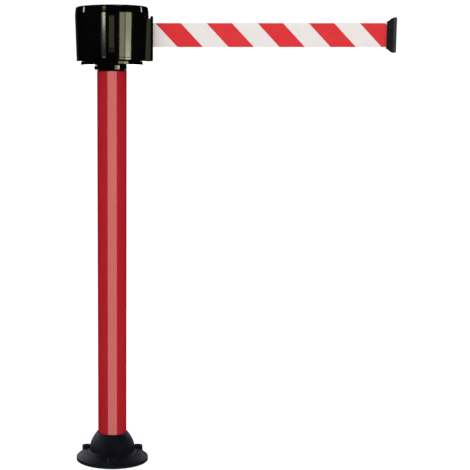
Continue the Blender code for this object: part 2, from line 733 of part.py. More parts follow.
def make_outlet():
    """The block that fits the shell's side, its face plate, and two screws through both."""
    half = OUTLET_HALF_WIDTH
    low = (NOZZLE_INNER_END, -half, SHELL_BOTTOM + OUTLET_BLOCK_BOTTOM)
    high = (OUTLET_BLOCK_FACE, half, SHELL_TOP - OUTLET_BLOCK_TOP)
    outlet = place(block("outlet_block", low, high), PARTS, BLACK_GLOSS)
    cut(outlet, shell_cone("shell_outside", CLEARANCE))
    cut(outlet, cutter(nozzle_window("block_window", CLEARANCE)))

    plate_back = OUTLET_BLOCK_FACE + CLEARANCE
    plate_bottom = SHELL_BOTTOM + OUTLET_BLOCK_BOTTOM
    middle = plate_bottom + OUTLET_PLATE_HEIGHT / 2
    outline = rounded_rectangle(OUTLET_PLATE_HEIGHT / 2, half, OUTLET_PLATE_CORNER)
    plate = slab("outlet_plate", outline, OUTLET_PLATE_THICKNESS)
    plate_middle = plate_back + OUTLET_PLATE_THICKNESS / 2
    place(plate, PARTS, BLACK_GLOSS, at=(plate_middle, 0, middle), turn=(0, math.pi / 2, 0))
    cut(plate, cutter(nozzle_window("plate_window", CLEARANCE)))

    face = plate_back + OUTLET_PLATE_THICKNESS
    head_seat = face - OUTLET_SCREW_HEAD - 2 * CLEARANCE
    for side, name in ((-1, "front"), (1, "rear")):
        radius = OUTLET_SCREW_RADIUS + CLEARANCE
        cut(outlet, outlet_screw_hole(f"block_screw_hole_{name}", side, radius, NOZZLE_INNER_END))
        cut(plate, outlet_screw_hole(f"plate_screw_hole_{name}", side, radius, NOZZLE_INNER_END))
        sink_radius = OUTLET_SCREW_HEAD_RADIUS + CLEARANCE
        cut(plate, outlet_screw_hole(f"plate_screw_sink_{name}", side, sink_radius, head_seat))
        at = (head_seat + CLEARANCE, side * OUTLET_SCREW_Y, BELT_Z)
        make_screw(
            f"outlet_screw_{name}",
            OUTLET_SCREW_RADIUS,
            OUTLET_SCREW_LENGTH,
            OUTLET_SCREW_HEAD_RADIUS,
            OUTLET_SCREW_HEAD,
            at,
            (0, math.pi / 2, 0),
        )


def rounded_rectangle(half_x, half_y, corner, steps=4):
    """Points round a rectangle with round corners."""
    points = []
    for quarter, (sign_x, sign_y) in enumerate(((1, 1), (-1, 1), (-1, -1), (1, -1))):
        for step in range(steps + 1):
            x, y = on_circle(corner, 90 * (quarter + step / steps))
            points.append((sign_x * (half_x - corner) + x, sign_y * (half_y - corner) + y))
    return points


def make_screw(name, radius, length, head_radius, head_height, at, turn):
    """A pan-head screw: its head stands on +Z of its own frame and its shank runs down."""
    edge = 0.3 * head_height
    profile = [
        (0, head_height),
        (head_radius - edge, head_height),
        (head_radius, head_height - edge),
        (head_radius, 0),
        (radius, 0),
        (radius, -length),
        (0, -length),
    ]
    return place(turned(name, profile, 12, closed=False), PARTS, STEEL, at=at, turn=turn)


def make_nozzle():
    """A smooth sleeve that leads the belt from the drum out through the face plate."""
    nozzle = nozzle_window("belt_nozzle", 0)
    face = OUTLET_BLOCK_FACE + CLEARANCE + OUTLET_PLATE_THICKNESS
    place(nozzle, PARTS, BLACK_GLOSS)
    trim = block("nozzle_trim", (face - NOZZLE_RECESS, -1, BELT_Z - 1), (1, 1, BELT_Z + 1))
    slot_half_height = BELT_WIDTH / 2 + NOZZLE_SIDE_PLAY
    slot = block(
        "nozzle_slot",
        (NOZZLE_INNER_END - 5 * MM, -NOZZLE_SLOT_HALF_WIDTH, BELT_Z - slot_half_height),
        (face + 5 * MM, NOZZLE_SLOT_HALF_WIDTH, BELT_Z + slot_half_height),
    )
    cut(nozzle, cutter(trim), cutter(slot))


# ---------------------------------------------------------------- spindle and drum


def make_spindle():
    axis = (0, DRUM_Y, 0)
    ceiling = CAP_TOP - CAP_WALL
    bottom = DISC_TOP - SPINDLE_SEAT + CLEARANCE
    top = ceiling - CAP_BOSS_DEPTH + SPINDLE_GRIP
    place(cylinder("spindle", SPINDLE_RADIUS, bottom, top), PARTS, STEEL, at=axis)
    arbor_bottom = DISC_TOP + CLEARANCE
    arbor_top = DRUM_BOTTOM - 3 * CLEARANCE
    arbor = ring("spring_arbor", SPINDLE_BORE, ARBOR_RADIUS, arbor_bottom, arbor_top, SMALL)
    place(arbor, PARTS, STEEL, at=axis)
    retainer_bottom = TOP_FLANGE_TOP + 2 * CLEARANCE
    outer = SPINDLE_BORE + RETAINER_WIDTH
    retainer = ring(
        "spindle_retainer",
        SPINDLE_BORE,
        outer,
        retainer_bottom,
        retainer_bottom + RETAINER_THICKNESS,
        SMALL,
    )
    place(retainer, PARTS, STEEL, at=axis)
    mouth = block("retainer_mouth", (0, -3 * MM, retainer_bottom - 1 * MM), (outer * 2, 3 * MM, CAP_TOP))
    cut(retainer, cutter(mouth, at=axis))


def make_power_spring():
    """A flat spiral strip between the arbor and the barrel's wall."""
    inner = ARBOR_RADIUS + CLEARANCE
    outer = BARREL_RADIUS - BARREL_WALL - 2 * CLEARANCE - SPRING_STRIP
    count = SPRING_TURNS * SPRING_POINTS_PER_TURN
    inside, outside = [], []
    for step in range(count + 1):
        degrees = 360 * step / SPRING_POINTS_PER_TURN
        radius = inner + (outer - inner) * step / count
        inside.append(on_circle(radius, degrees))
        outside.append(on_circle(radius + SPRING_STRIP, degrees))
    spring = slab("power_spring", outside + inside[::-1], SPRING_HEIGHT)
    room_bottom = BARREL_BOTTOM + BARREL_COVER
    room_top = BARREL_CEILING - BARREL_TOP
    place(spring, PARTS, STEEL, at=(0, DRUM_Y, (room_bottom + room_top) / 2))


def make_drum():
    """The pieces that turn with the belt, under an empty on the spindle's axis."""
    axis = bpy.data.objects.new("drum_axis", None)
    PARTS.objects.link(axis)
    axis.location = (0, DRUM_Y, 0)
    hub_profile = [
        (HUB_RADIUS, HUB_TOP),
        (HUB_RADIUS, DRUM_BOTTOM + DRUM_FLANGE),
        (DRUM_FLANGE_RADIUS, DRUM_BOTTOM + DRUM_FLANGE),
        (DRUM_FLANGE_RADIUS, DRUM_BOTTOM),
        (DRUM_BORE, DRUM_BOTTOM),
        (DRUM_BORE, HUB_TOP),
    ]
    barrel_profile = [
        (BARREL_RADIUS, BARREL_CEILING),
        (BARREL_RADIUS, BARREL_BOTTOM + BARREL_COVER),
        (BARREL_RADIUS - BARREL_WALL, BARREL_BOTTOM + BARREL_COVER),
        (BARREL_RADIUS - BARREL_WALL, BARREL_CEILING - BARREL_TOP),
        (DRUM_BORE, BARREL_CEILING - BARREL_TOP),
        (DRUM_BORE, BARREL_CEILING),
    ]
    cover_top = BARREL_BOTTOM + BARREL_COVER - CLEARANCE
    upper_bush_top = TOP_FLANGE_TOP + CLEARANCE
    drum = [
        (turned("drum_hub", hub_profile), INNER_PLASTIC),
        (
            ring("drum_top_flange", DRUM_BORE, DRUM_FLANGE_RADIUS, TOP_FLANGE_BOTTOM, TOP_FLANGE_TOP),
            INNER_PLASTIC,
        ),
        (turned("spring_barrel", barrel_profile), INNER_PLASTIC),
        (ring("barrel_cover", DRUM_BORE, BARREL_RADIUS, BARREL_BOTTOM, cover_top), INNER_PLASTIC),
        (
            ring(
                "drum_bush_lower",
                SPINDLE_BORE,
                BUSH_RADIUS,
                DRUM_BOTTOM - 2 * CLEARANCE,
                DRUM_BOTTOM + BUSH_LENGTH,
                SMALL,
            ),
            BRASS,
        ),
        (
            ring(
                "drum_bush_upper",
                SPINDLE_BORE,
                BUSH_RADIUS,
                upper_bush_top - BUSH_LENGTH,
                upper_bush_top,
                SMALL,
            ),
            BRASS,
        ),
        (ring("belt_roll", ROLL_BORE, ROLL_RADIUS, BELT_BOTTOM, BELT_TOP), BELT_FABRIC),
    ]
    for obj, material in drum:
        place(obj, PARTS, material)
        obj.parent = axis


# ---------------------------------------------------------------- belt and clip


def clip_outline():
    """The clip seen from the side: a throat round the belt that flares to an end band."""
    flare_end = CLIP_LENGTH - CLIP_BAND
    upper = []
    for step in range(CLIP_FLARE_STEPS + 1):
        share = step / CLIP_FLARE_STEPS
        rise = (1 - math.cos(math.pi * share)) / 2
        height = CLIP_THROAT_HALF_HEIGHT + rise * (CLIP_END_HALF_HEIGHT - CLIP_THROAT_HALF_HEIGHT)
        upper.append((flare_end * share, height))
    upper.append((CLIP_LENGTH, CLIP_END_HALF_HEIGHT))
    return upper + [(x, -height) for x, height in reversed(upper)]


def make_belt_end():
    """The free belt and the clip on its end, under an empty at the clip's throat."""
    throat = bpy.data.objects.new("belt_end", None)
    PARTS.objects.link(throat)
    throat.location = (CLIP_THROAT_X, 0, BELT_Z)

    pin_bore = CLIP_PIN_RADIUS + CLEARANCE
    belt_end = CLIP_PIN_X - pin_bore - CLEARANCE
    half_belt = BELT_WIDTH / 2
    low = (BELT_START - CLIP_THROAT_X, -BELT_THICKNESS / 2, -half_belt)
    high = (belt_end, BELT_THICKNESS / 2, half_belt)
    pieces = [place(block("belt_run", low, high), PARTS, BELT_FABRIC)]

    pin_half = half_belt + CLIP_PIN_REACH
    pin = cylinder("clip_pin", CLIP_PIN_RADIUS, -pin_half, pin_half, 12)
    pieces.append(place(pin, PARTS, STEEL, at=(CLIP_PIN_X, 0, 0)))

    recess_half = BELT_THICKNESS / 2 + CLEARANCE
    recess_low = (-1 * MM, -recess_half, -half_belt - CLEARANCE)
    recess_high = (CLIP_PIN_X, recess_half, half_belt + CLEARANCE)
    screw_z = CLIP_END_HALF_HEIGHT - CLIP_SCREW_EDGE
    thickness = CLIP_HALF_THICKNESS - CLEARANCE / 2
    for side, name in ((-1, "front"), (1, "rear")):
        half = slab(f"clip_{name}", clip_outline(), thickness)
        middle = side * (CLIP_HALF_THICKNESS + CLEARANCE / 2) / 2
        place(half, PARTS, DARK_GREY, at=(0, middle, 0), turn=(math.pi / 2, 0, 0))
        recess = cutter(block(f"belt_recess_{name}", recess_low, recess_high))
        groove = cylinder(f"pin_groove_{name}", pin_bore, -pin_half - CLEARANCE, pin_half + CLEARANCE, 12)
        cut(half, recess, cutter(groove, at=(CLIP_PIN_X, 0, 0)))
        pieces += [half, recess, bpy.data.objects[groove.name]]
        for end in (-1, 1):
            hole = cylinder(
                f"clip_hole_{name}_{end}",
                CLIP_SCREW_RADIUS + CLEARANCE,
                -2 * CLIP_HALF_THICKNESS,
                2 * CLIP_HALF_THICKNESS,
                12,
            )
            at = (CLIP_SCREW_X, 0, end * screw_z)
            cut(half, cutter(hole, at=at, turn=(math.pi / 2, 0, 0)))
            pieces.append(hole)
    rear = bpy.data.objects["clip_rear"]
    seat = CLIP_HALF_THICKNESS - CLIP_SCREW_SINK
    for end, name in ((1, "upper"), (-1, "lower")):
        sink = cylinder(
            f"clip_sink_{name}", CLIP_SCREW_HEAD_RADIUS + CLEARANCE, seat, 2 * CLIP_HALF_THICKNESS, 12
        )
        turn = (-math.pi / 2, 0, 0)
        at = (CLIP_SCREW_X, 0, end * screw_z)
        cut(rear, cutter(sink, at=at, turn=turn))
        pieces.append(sink)
        screw = make_screw(
            f"clip_screw_{name}",
            CLIP_SCREW_RADIUS,
            seat + CLIP_HALF_THICKNESS - 1 * MM,
            CLIP_SCREW_HEAD_RADIUS,
            CLIP_SCREW_HEAD,
            (CLIP_SCREW_X, seat + CLEARANCE, end * screw_z),
            turn,
        )
        pieces.append(screw)
    for piece in pieces:
        piece.parent = throat


def shade():
    """Round pieces are smooth, with sharp edges kept."""
    for obj in PARTS.objects:
        if obj.type == "MESH":
            obj.data.shade_smooth()
            obj.data.set_sharp_from_angle(angle=math.radians(35))


make_base()
make_tube()
make_tie_rod()
make_spigot()
make_neck_screw()
make_cassette_base()
make_case_screws()
make_shell()
make_cap()
for receiver_side, receiver_degrees in RECEIVER_ANGLES.items():
    make_receiver(receiver_side, receiver_degrees)
make_outlet()
make_nozzle()
make_spindle()
make_power_spring()
make_drum()
make_belt_end()
shade()
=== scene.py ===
"""Looks for the belt barrier post: fine surfaces, materials, studio light and camera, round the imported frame.

Lengths are in metres, +Z is up, and the belt runs out along +X. Places and sizes come from the frame's boxes.
"""

import json
import math

import bmesh
import bpy
from mathutils import Matrix, Vector
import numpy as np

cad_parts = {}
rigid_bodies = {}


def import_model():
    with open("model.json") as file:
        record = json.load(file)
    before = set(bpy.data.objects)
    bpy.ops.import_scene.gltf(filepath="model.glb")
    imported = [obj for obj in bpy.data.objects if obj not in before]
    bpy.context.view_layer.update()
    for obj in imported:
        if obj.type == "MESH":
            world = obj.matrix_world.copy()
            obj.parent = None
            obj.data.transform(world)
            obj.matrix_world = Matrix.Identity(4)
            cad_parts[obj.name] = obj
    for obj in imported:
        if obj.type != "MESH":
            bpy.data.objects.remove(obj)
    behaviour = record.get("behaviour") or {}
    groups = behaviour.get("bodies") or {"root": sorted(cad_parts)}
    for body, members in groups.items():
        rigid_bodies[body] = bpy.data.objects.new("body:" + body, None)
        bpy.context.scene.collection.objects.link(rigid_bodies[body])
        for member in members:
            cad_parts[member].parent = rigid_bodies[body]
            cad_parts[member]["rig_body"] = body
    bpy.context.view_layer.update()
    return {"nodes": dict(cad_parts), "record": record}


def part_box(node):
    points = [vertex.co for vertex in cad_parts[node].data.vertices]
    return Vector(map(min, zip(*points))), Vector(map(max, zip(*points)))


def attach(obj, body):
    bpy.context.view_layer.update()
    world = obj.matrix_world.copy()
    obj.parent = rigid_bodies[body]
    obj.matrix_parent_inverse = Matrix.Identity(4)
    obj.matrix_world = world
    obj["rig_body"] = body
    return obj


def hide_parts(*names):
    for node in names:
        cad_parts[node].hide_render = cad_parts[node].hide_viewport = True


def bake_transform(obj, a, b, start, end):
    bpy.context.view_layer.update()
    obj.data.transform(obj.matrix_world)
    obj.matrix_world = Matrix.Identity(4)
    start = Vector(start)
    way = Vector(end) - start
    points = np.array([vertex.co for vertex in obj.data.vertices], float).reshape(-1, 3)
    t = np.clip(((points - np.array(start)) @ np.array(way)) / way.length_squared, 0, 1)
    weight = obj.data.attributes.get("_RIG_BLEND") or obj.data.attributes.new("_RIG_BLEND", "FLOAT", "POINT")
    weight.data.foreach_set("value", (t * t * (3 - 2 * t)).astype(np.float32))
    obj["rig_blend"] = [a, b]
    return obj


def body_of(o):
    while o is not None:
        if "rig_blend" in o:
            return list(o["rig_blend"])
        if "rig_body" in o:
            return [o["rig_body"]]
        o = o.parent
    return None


MM = 0.001
# Steps round a turned shape: large and glossy ones, hidden ones, and screws
FINE = 192
MEDIUM = 96
SMALL = 32
# The room left between two pieces that fit into each other
GAP = 0.3 * MM

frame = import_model()
SLOT_OF_NODE = {row["node"]: row["material_slot"] for row in frame["record"]["subparts"]}
OPENING_BOX = {row["name"]: row["box_m"] for row in frame["record"]["physics"]["openings"]}


# ---------------------------------------------------------------- mesh helpers


def add(obj, material, body, replaced=(), slot=None):
    """Show a piece, give it its material and let it ride on a body."""
    bpy.context.scene.collection.objects.link(obj)
    obj.data.materials.clear()
    obj.data.materials.append(material)
    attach(obj, body)
    if replaced:
        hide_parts(*replaced)
        slot = slot or SLOT_OF_NODE[replaced[0]]
    return obj


def from_bmesh(name, bm):
    bmesh.ops.remove_doubles(bm, verts=bm.verts, dist=0.001 * MM)
    bmesh.ops.recalc_face_normals(bm, faces=bm.faces)
    mesh = bpy.data.meshes.new(name)
    bm.to_mesh(mesh)
    bm.free()
    return bpy.data.objects.new(name, mesh)


def revolve(name, profile, segments=FINE, closed=False):
    """A turned shape about Z from (radius, height) points. An open profile starts and ends on the axis."""
    bm = bmesh.new()
    rings = []
    for radius, height in profile:
        if radius == 0:
            rings.append([bm.verts.new((0, 0, height))] * segments)
            continue
        angles = [2 * math.pi * step / segments for step in range(segments)]
        rings.append([bm.verts.new((radius * math.cos(a), radius * math.sin(a), height)) for a in angles])
    pairs = list(zip(rings, rings[1:]))
    if closed:
        pairs.append((rings[-1], rings[0]))
    for one, two in pairs:
        for step in range(segments):
            corners = [one[step], one[step - 1], two[step - 1], two[step]]
            corners = list(dict.fromkeys(corners))
            if len(corners) > 2:
                bm.faces.new(corners)
    return from_bmesh(name, bm)


def extrude_outline(name, outline, thickness):
    """A flat outline in XY, thickened evenly about Z = 0."""
    bm = bmesh.new()
    low = [bm.verts.new((x, y, -thickness / 2)) for x, y in outline]
    high = [bm.verts.new((x, y, thickness / 2)) for x, y in outline]
    bm.faces.new(low)
    bm.faces.new(high)
    for step in range(len(outline)):
        bm.faces.new((low[step - 1], low[step], high[step], high[step - 1]))
    return from_bmesh(name, bm)


def box_between(name, low, high):
    bm = bmesh.new()
    low, high = Vector(low), Vector(high)
    size = Matrix.Diagonal((*(high - low), 1))
    bmesh.ops.create_cube(bm, size=1, matrix=Matrix.Translation((low + high) / 2) @ size)
    return from_bmesh(name, bm)


def moved(obj, at=(0, 0, 0), turn=(0, 0, 0)):
    """Turn and move the mesh itself, so that the object stays at the origin."""
    about_x, about_y, about_z = (Matrix.Rotation(angle, 4, axis) for angle, axis in zip(turn, "XYZ"))
    spin = about_z @ about_y @ about_x
    obj.data.transform(Matrix.Translation(at) @ spin)
    return obj


def combine(obj, other, operation="DIFFERENCE"):
    """Apply a Boolean with another object, which is removed."""
    scene = bpy.context.scene.collection
    for each in (obj, other):
        scene.objects.link(each)
    modifier = obj.modifiers.new("combine", "BOOLEAN")
    modifier.operation = operation
    modifier.object = other
    modifier.solver = "MANIFOLD"
    bake_modifiers(obj)
    for each in (obj, other):
        scene.objects.unlink(each)
    bpy.data.objects.remove(other, do_unlink=True)
    return obj


def bake_modifiers(obj):
    bpy.context.view_layer.update()
    graph = bpy.context.evaluated_depsgraph_get()
    mesh = bpy.data.meshes.new_from_object(obj.evaluated_get(graph))
    obj.modifiers.clear()
    obj.data = mesh


def round_edges(obj, width, segments=3, angle=30):
    """Round the sharp edges, as a moulding or a turned piece has them."""
    bevel = obj.modifiers.new("round edges", "BEVEL")
    bevel.width = width
    bevel.segments = segments
    bevel.limit_method = "ANGLE"
    bevel.angle_limit = math.radians(angle)
    bevel.use_clamp_overlap = True
    smooth(obj)
    bevel.harden_normals = True
    return obj


def smooth(obj, angle=35):
    obj.data.shade_smooth()
    obj.data.set_sharp_from_angle(angle=math.radians(angle))
    return obj


def arc(centre, radius, start, end, steps=6):
    """Points of an arc between two angles in degrees."""
    points = []
    for step in range(steps + 1):
        angle = math.radians(start + (end - start) * step / steps)
        points.append((centre[0] + radius * math.cos(angle), centre[1] + radius * math.sin(angle)))
    return points


def rounded_rectangle(half_x, half_y, corner, steps=8):
    points = []
    for quarter, (side_x, side_y) in enumerate(((1, 1), (-1, 1), (-1, -1), (1, -1))):
        centre = (side_x * (half_x - corner), side_y * (half_y - corner))
        points += arc(centre, corner, 90 * quarter, 90 * quarter + 90, steps)
    return points


def on_circle(radius, degrees):
    angle = math.radians(degrees)
    return radius * math.cos(angle), radius * math.sin(angle)


# ---------------------------------------------------------------- material helpers


def new_material(name, colour, roughness, metallic=0.0, **more):
    """A Principled material. More inputs are given as words with underscores for spaces."""
    material = bpy.data.materials.new(name)
    material.use_nodes = True
    shader = material.node_tree.nodes["Principled BSDF"]
    shader.inputs["Base Color"].default_value = (*colour, 1)
    shader.inputs["Roughness"].default_value = roughness
    shader.inputs["Metallic"].default_value = metallic
    for words, value in more.items():
        shader.inputs[words.replace("_", " ").title().replace("Ior", "IOR")].default_value = value
    return material


def shader_of(material):
    return material.node_tree.nodes["Principled BSDF"]


def node(material, kind, **settings):
    made = material.node_tree.nodes.new(kind)
    for name, value in settings.items():
        setattr(made, name, value)
    return made


def link(material, source, target):
    material.node_tree.links.new(source, target)


def place_coordinates(material, stretch=(1, 1, 1)):
    """Object coordinates in metres, stretched along each axis."""
    source = node(material, "ShaderNodeTexCoord")
    mapping = node(material, "ShaderNodeMapping")
    mapping.inputs["Scale"].default_value = stretch
    link(material, source.outputs["Object"], mapping.inputs["Vector"])
    return mapping.outputs["Vector"]


def noise(material, size, detail=3.0, stretch=(1, 1, 1), roughness=0.5):
    """Noise whose features are about size metres wide."""
    texture = node(material, "ShaderNodeTexNoise")
    texture.inputs["Scale"].default_value = 1 / size
    texture.inputs["Detail"].default_value = detail
    texture.inputs["Roughness"].default_value = roughness
    link(material, place_coordinates(material, stretch), texture.inputs["Vector"])
    return texture.outputs["Fac"]


def spread(material, value, low, high, start=0.3, end=0.7):
    """Map a value from start..end to low..high, held at both ends."""
    mapped = node(material, "ShaderNodeMapRange")
    for name, number in (("From Min", start), ("From Max", end), ("To Min", low), ("To Max", high)):
        mapped.inputs[name].default_value = number
    link(material, value, mapped.inputs["Value"])
    return mapped.outputs["Result"]


def mix_colours(material, share, first, second):
    """A blend of two colours, each a plain colour or another node's output."""
    mix = node(material, "ShaderNodeMix", data_type="RGBA")
    sockets = [socket for socket in mix.inputs if socket.type == "RGBA"]
    for socket, colour in zip(sockets, (first, second)):
        if isinstance(colour, tuple):
            socket.default_value = (*colour, 1)
        else:
            link(material, colour, socket)
    link(material, share, mix.inputs[0])
    return [socket for socket in mix.outputs if socket.type == "RGBA"][0]


def arithmetic(material, operation, *values):
    made = node(material, "ShaderNodeMath", operation=operation)
    for socket, value in zip(made.inputs, values):
        if isinstance(value, (int, float)):
            socket.default_value = value
        else:
            link(material, value, socket)
    return made.outputs[0]


def bump(material, height, depth, onto=None):
    """Relief of a depth in metres, laid over another relief where one is given."""
    made = node(material, "ShaderNodeBump")
    made.inputs["Distance"].default_value = depth
    link(material, height, made.inputs["Height"])
    if onto:
        link(material, onto, made.inputs["Normal"])
    return made.outputs["Normal"]


def edge_wear(material, start=0.52, end=0.58):
    """1 on outside edges and 0 elsewhere."""
    geometry = node(material, "ShaderNodeNewGeometry")
    return spread(material, geometry.outputs["Pointiness"], 0, 1, start, end)


def colour_of(material, output):
    link(material, output, shader_of(material).inputs["Base Color"])


def roughness_of(material, output):
    link(material, output, shader_of(material).inputs["Roughness"])


def normal_of(material, output):
    link(material, output, shader_of(material).inputs["Normal"])


# ---------------------------------------------------------------- materials


def gloss_plastic():
    """Polished black moulding: a near mirror, with faint mould waves and rubbed patches."""
    material = new_material("head_gloss", (0.0018, 0.0016, 0.0016), 0.08, IOR=1.5)
    roughness_of(material, spread(material, noise(material, 30 * MM, 5), 0.045, 0.12))
    waves = bump(material, noise(material, 22 * MM, 1), 0.05 * MM)
    fine = bump(material, noise(material, 0.5 * MM, 2), 0.0015 * MM, waves)
    normal_of(material, fine)
    tint = spread(material, noise(material, 60 * MM, 3), 0, 1)
    colour_of(material, mix_colours(material, tint, (0.0012, 0.0010, 0.0010), (0.0024, 0.0021, 0.0020)))
    return material


def tube_paint():
    """Red powder coat under gloss: even colour, orange peel and hardly any wear."""
    material = new_material("tube_red", (0.40, 0.012, 0.019), 0.1, IOR=1.5)
    cloud = spread(material, noise(material, 45 * MM, 4, (1, 1, 0.35)), 0, 1)
    colour_of(material, mix_colours(material, cloud, (0.375, 0.0105, 0.017), (0.425, 0.0135, 0.021)))
    roughness_of(material, spread(material, noise(material, 12 * MM, 5), 0.07, 0.13))
    peel = bump(material, noise(material, 1.4 * MM, 2), 0.004 * MM)
    normal_of(material, bump(material, noise(material, 0.35 * MM, 1), 0.001 * MM, peel))
    return material


def grained_plastic(name, dark, light, grain=0.6 * MM, depth=0.02 * MM, rough=(0.42, 0.58), edge=None):
    """Matt moulded plastic with a spark-eroded grain and paler rubbed edges."""
    material = new_material(name, dark, sum(rough) / 2, IOR=1.48)
    cloud = spread(material, noise(material, 18 * MM, 5), 0, 1)
    colour = mix_colours(material, cloud, dark, light)
    if edge:
        colour = mix_colours(material, edge_wear(material), colour, edge)
    colour_of(material, colour)
    roughness_of(material, spread(material, noise(material, 9 * MM, 4), *rough))
    coarse = bump(material, noise(material, grain, 3, roughness=0.65), depth)
    normal_of(material, bump(material, noise(material, grain / 4, 1), depth / 5, coarse))
    return material


def metal(name, colour, rough=(0.22, 0.4), brush=(1, 1, 1)):
    """Plated or turned metal: brushed one way, with patches of duller plating."""
    material = new_material(name, colour, sum(rough) / 2, 1.0)
    darker = tuple(0.82 * channel for channel in colour)
    dulled = spread(material, noise(material, 4 * MM, 5), 0, 1)
    colour_of(material, mix_colours(material, dulled, darker, colour))
    roughness_of(material, spread(material, noise(material, 2 * MM, 4), *rough))
    normal_of(material, bump(material, noise(material, 0.4 * MM, 2, brush), 0.006 * MM))
    return material


STRIPE_PERIOD = 109 * MM
STRIPE_WIDTH = 54.3 * MM
STRIPE_LEAN = 47.9 / 50.0
STRIPE_START = 92.6 * MM
WEAVE_PITCH = 1.3 * MM
THREAD_PITCH = WEAVE_PITCH / 3
HERRINGBONE = 5.0 * MM
# Periods that the stripes are counted from, so that the count stays positive all along the belt
PERIODS_BEFORE = 20
BELT_RED = (0.74, 0.010, 0.017)
BELT_WHITE = (0.83, 0.775, 0.755)


def webbing(belt_top):
    """Woven polyester: slanting red and white stripes over a herringbone weave, with painted shade in the
    weave's valleys.

    The pattern follows the places of the surface, so it keeps its pitch when the belt stretches, and
    it stays still while the clip moves.
    """
    material = new_material("belt_striped", BELT_RED, 0.75, Sheen_Weight=0.05, Sheen_Roughness=0.4)
    split = node(material, "ShaderNodeSeparateXYZ")
    link(material, place_coordinates(material), split.inputs["Vector"])
    along, up = split.outputs["X"], split.outputs["Z"]

    zigzag = arithmetic(material, "PINGPONG", up, HERRINGBONE)
    slanted = arithmetic(material, "ADD", along, zigzag)
    twill = arithmetic(material, "SINE", arithmetic(material, "MULTIPLY", slanted, 2 * math.pi / WEAVE_PITCH))
    threads = arithmetic(material, "SINE", arithmetic(material, "MULTIPLY", up, 2 * math.pi / THREAD_PITCH))
    relief = arithmetic(material, "ADD", twill, arithmetic(material, "MULTIPLY", threads, 0.35))

    ragged = arithmetic(material, "MULTIPLY", twill, 0.12 * MM)
    lean = arithmetic(material, "MULTIPLY", arithmetic(material, "SUBTRACT", belt_top, up), STRIPE_LEAN)
    shifted = arithmetic(material, "SUBTRACT", arithmetic(material, "ADD", along, ragged), lean)
    started = arithmetic(material, "SUBTRACT", shifted, STRIPE_START - PERIODS_BEFORE * STRIPE_PERIOD)
    phase = arithmetic(material, "MODULO", started, STRIPE_PERIOD)
    white = arithmetic(material, "GREATER_THAN", phase, STRIPE_WIDTH)
    colour = mix_colours(material, white, BELT_RED, BELT_WHITE)

    fading = spread(material, noise(material, 25 * MM, 4, (0.4, 1, 1)), 0, 0.035)
    colour = mix_colours(material, fading, colour, (0.55, 0.40, 0.38))
    # Painted shade: the colour darkens towards a dark red-brown where the weave's relief is low, as shade in
    # its valleys.
    valley_painted_shade = spread(material, relief, 0.07, 0.0, -1.35, 1.35)
    colour_of(material, mix_colours(material, valley_painted_shade, colour, (0.12, 0.05, 0.05)))
    roughness_of(material, spread(material, noise(material, 8 * MM, 3), 0.68, 0.82))
    fuzz = bump(material, noise(material, 0.25 * MM, 2), 0.01 * MM)
    normal_of(material, bump(material, relief, 0.035 * MM, fuzz))
    return material


BELT_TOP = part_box("belt_run")[1][2]
GLOSS = gloss_plastic()
PAINT = tube_paint()
BASE_PLASTIC = grained_plastic(
    "base_grained", (0.0035, 0.0040, 0.0105), (0.0055, 0.0062, 0.0145), edge=(0.020, 0.020, 0.032)
)
CLIP_PLASTIC = grained_plastic(
    "clip_grained", (0.0085, 0.009, 0.0095), (0.012, 0.0125, 0.0135), 0.35 * MM, 0.008 * MM, (0.3, 0.42)
)
BAND_PLASTIC = grained_plastic(
    "clip_band_grained", (0.030, 0.030, 0.032), (0.040, 0.040, 0.043), 0.35 * MM, 0.008 * MM, (0.3, 0.42)
)
CATCH_PLASTIC = grained_plastic(
    "catch_grained", (0.004, 0.004, 0.0035), (0.006, 0.006, 0.005), 0.35 * MM, 0.005 * MM, (0.16, 0.24)
)
INNER_PLASTIC = grained_plastic("inner_natural", (0.36, 0.35, 0.32), (0.44, 0.43, 0.40), 0.5 * MM, 0.01 * MM)
ZINC = metal("zinc_plate", (0.58, 0.58, 0.60), brush=(1, 1, 0.05))
BRASS = metal("turned_brass", (0.62, 0.43, 0.17), (0.2, 0.34), (0.1, 0.1, 1))
BLACK_STEEL = metal("black_oxide", (0.025, 0.025, 0.028), (0.25, 0.4))
WEBBING = webbing(BELT_TOP)
MATERIAL_OF_SLOT = {
    "tube_paint": PAINT,
    "head_plastic": GLOSS,
    "base_plastic": BASE_PLASTIC,
    "dark_plastic": CLIP_PLASTIC,
    "inner_plastic": INNER_PLASTIC,
    "belt_webbing": WEBBING,
    "zinc_steel": ZINC,
    "black_steel": BLACK_STEEL,
    "brass": BRASS,
}


def finish_cad_nodes():
    """Every CAD node gets the material of its slot."""
    for name, obj in frame["nodes"].items():
        for material_slot in obj.material_slots:
            material_slot.material = MATERIAL_OF_SLOT[SLOT_OF_NODE[name]]


# ---------------------------------------------------------------- base and tube

FLANGE_WALL = 4.0 * MM
FLANGE_RIM = 7.5 * MM
FLANGE_FALL = 1.6
DOME_FOOT = 19.5 * MM
DOME_LIP = 2.6 * MM
DOME_SPREAD = 16.9 * MM
DOME_FULLNESS = 2.2
TOWER_ANGLES = (-90, 30, 150)
TOWER_INSET = 13.2 * MM
TOWER_RADIUS = 10.5 * MM
TOWER_TOP = 22.5 * MM
TOWER_FILLET = 2.5 * MM
ANCHOR_RADIUS = 5.0 * MM
TUBE_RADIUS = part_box("post_tube")[1][0]
BASE_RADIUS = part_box("base_casting")[1][0]
DOME_FOOT_RADIUS = TUBE_RADIUS + DOME_LIP + DOME_SPREAD


def flange_height(radius):
    """Height of the flange's top side."""
    share = min(max((radius - DOME_FOOT_RADIUS) / (BASE_RADIUS - DOME_FOOT_RADIUS), 0), 1)
    return FLANGE_RIM + (DOME_FOOT - FLANGE_RIM) * (1 - share**FLANGE_FALL)


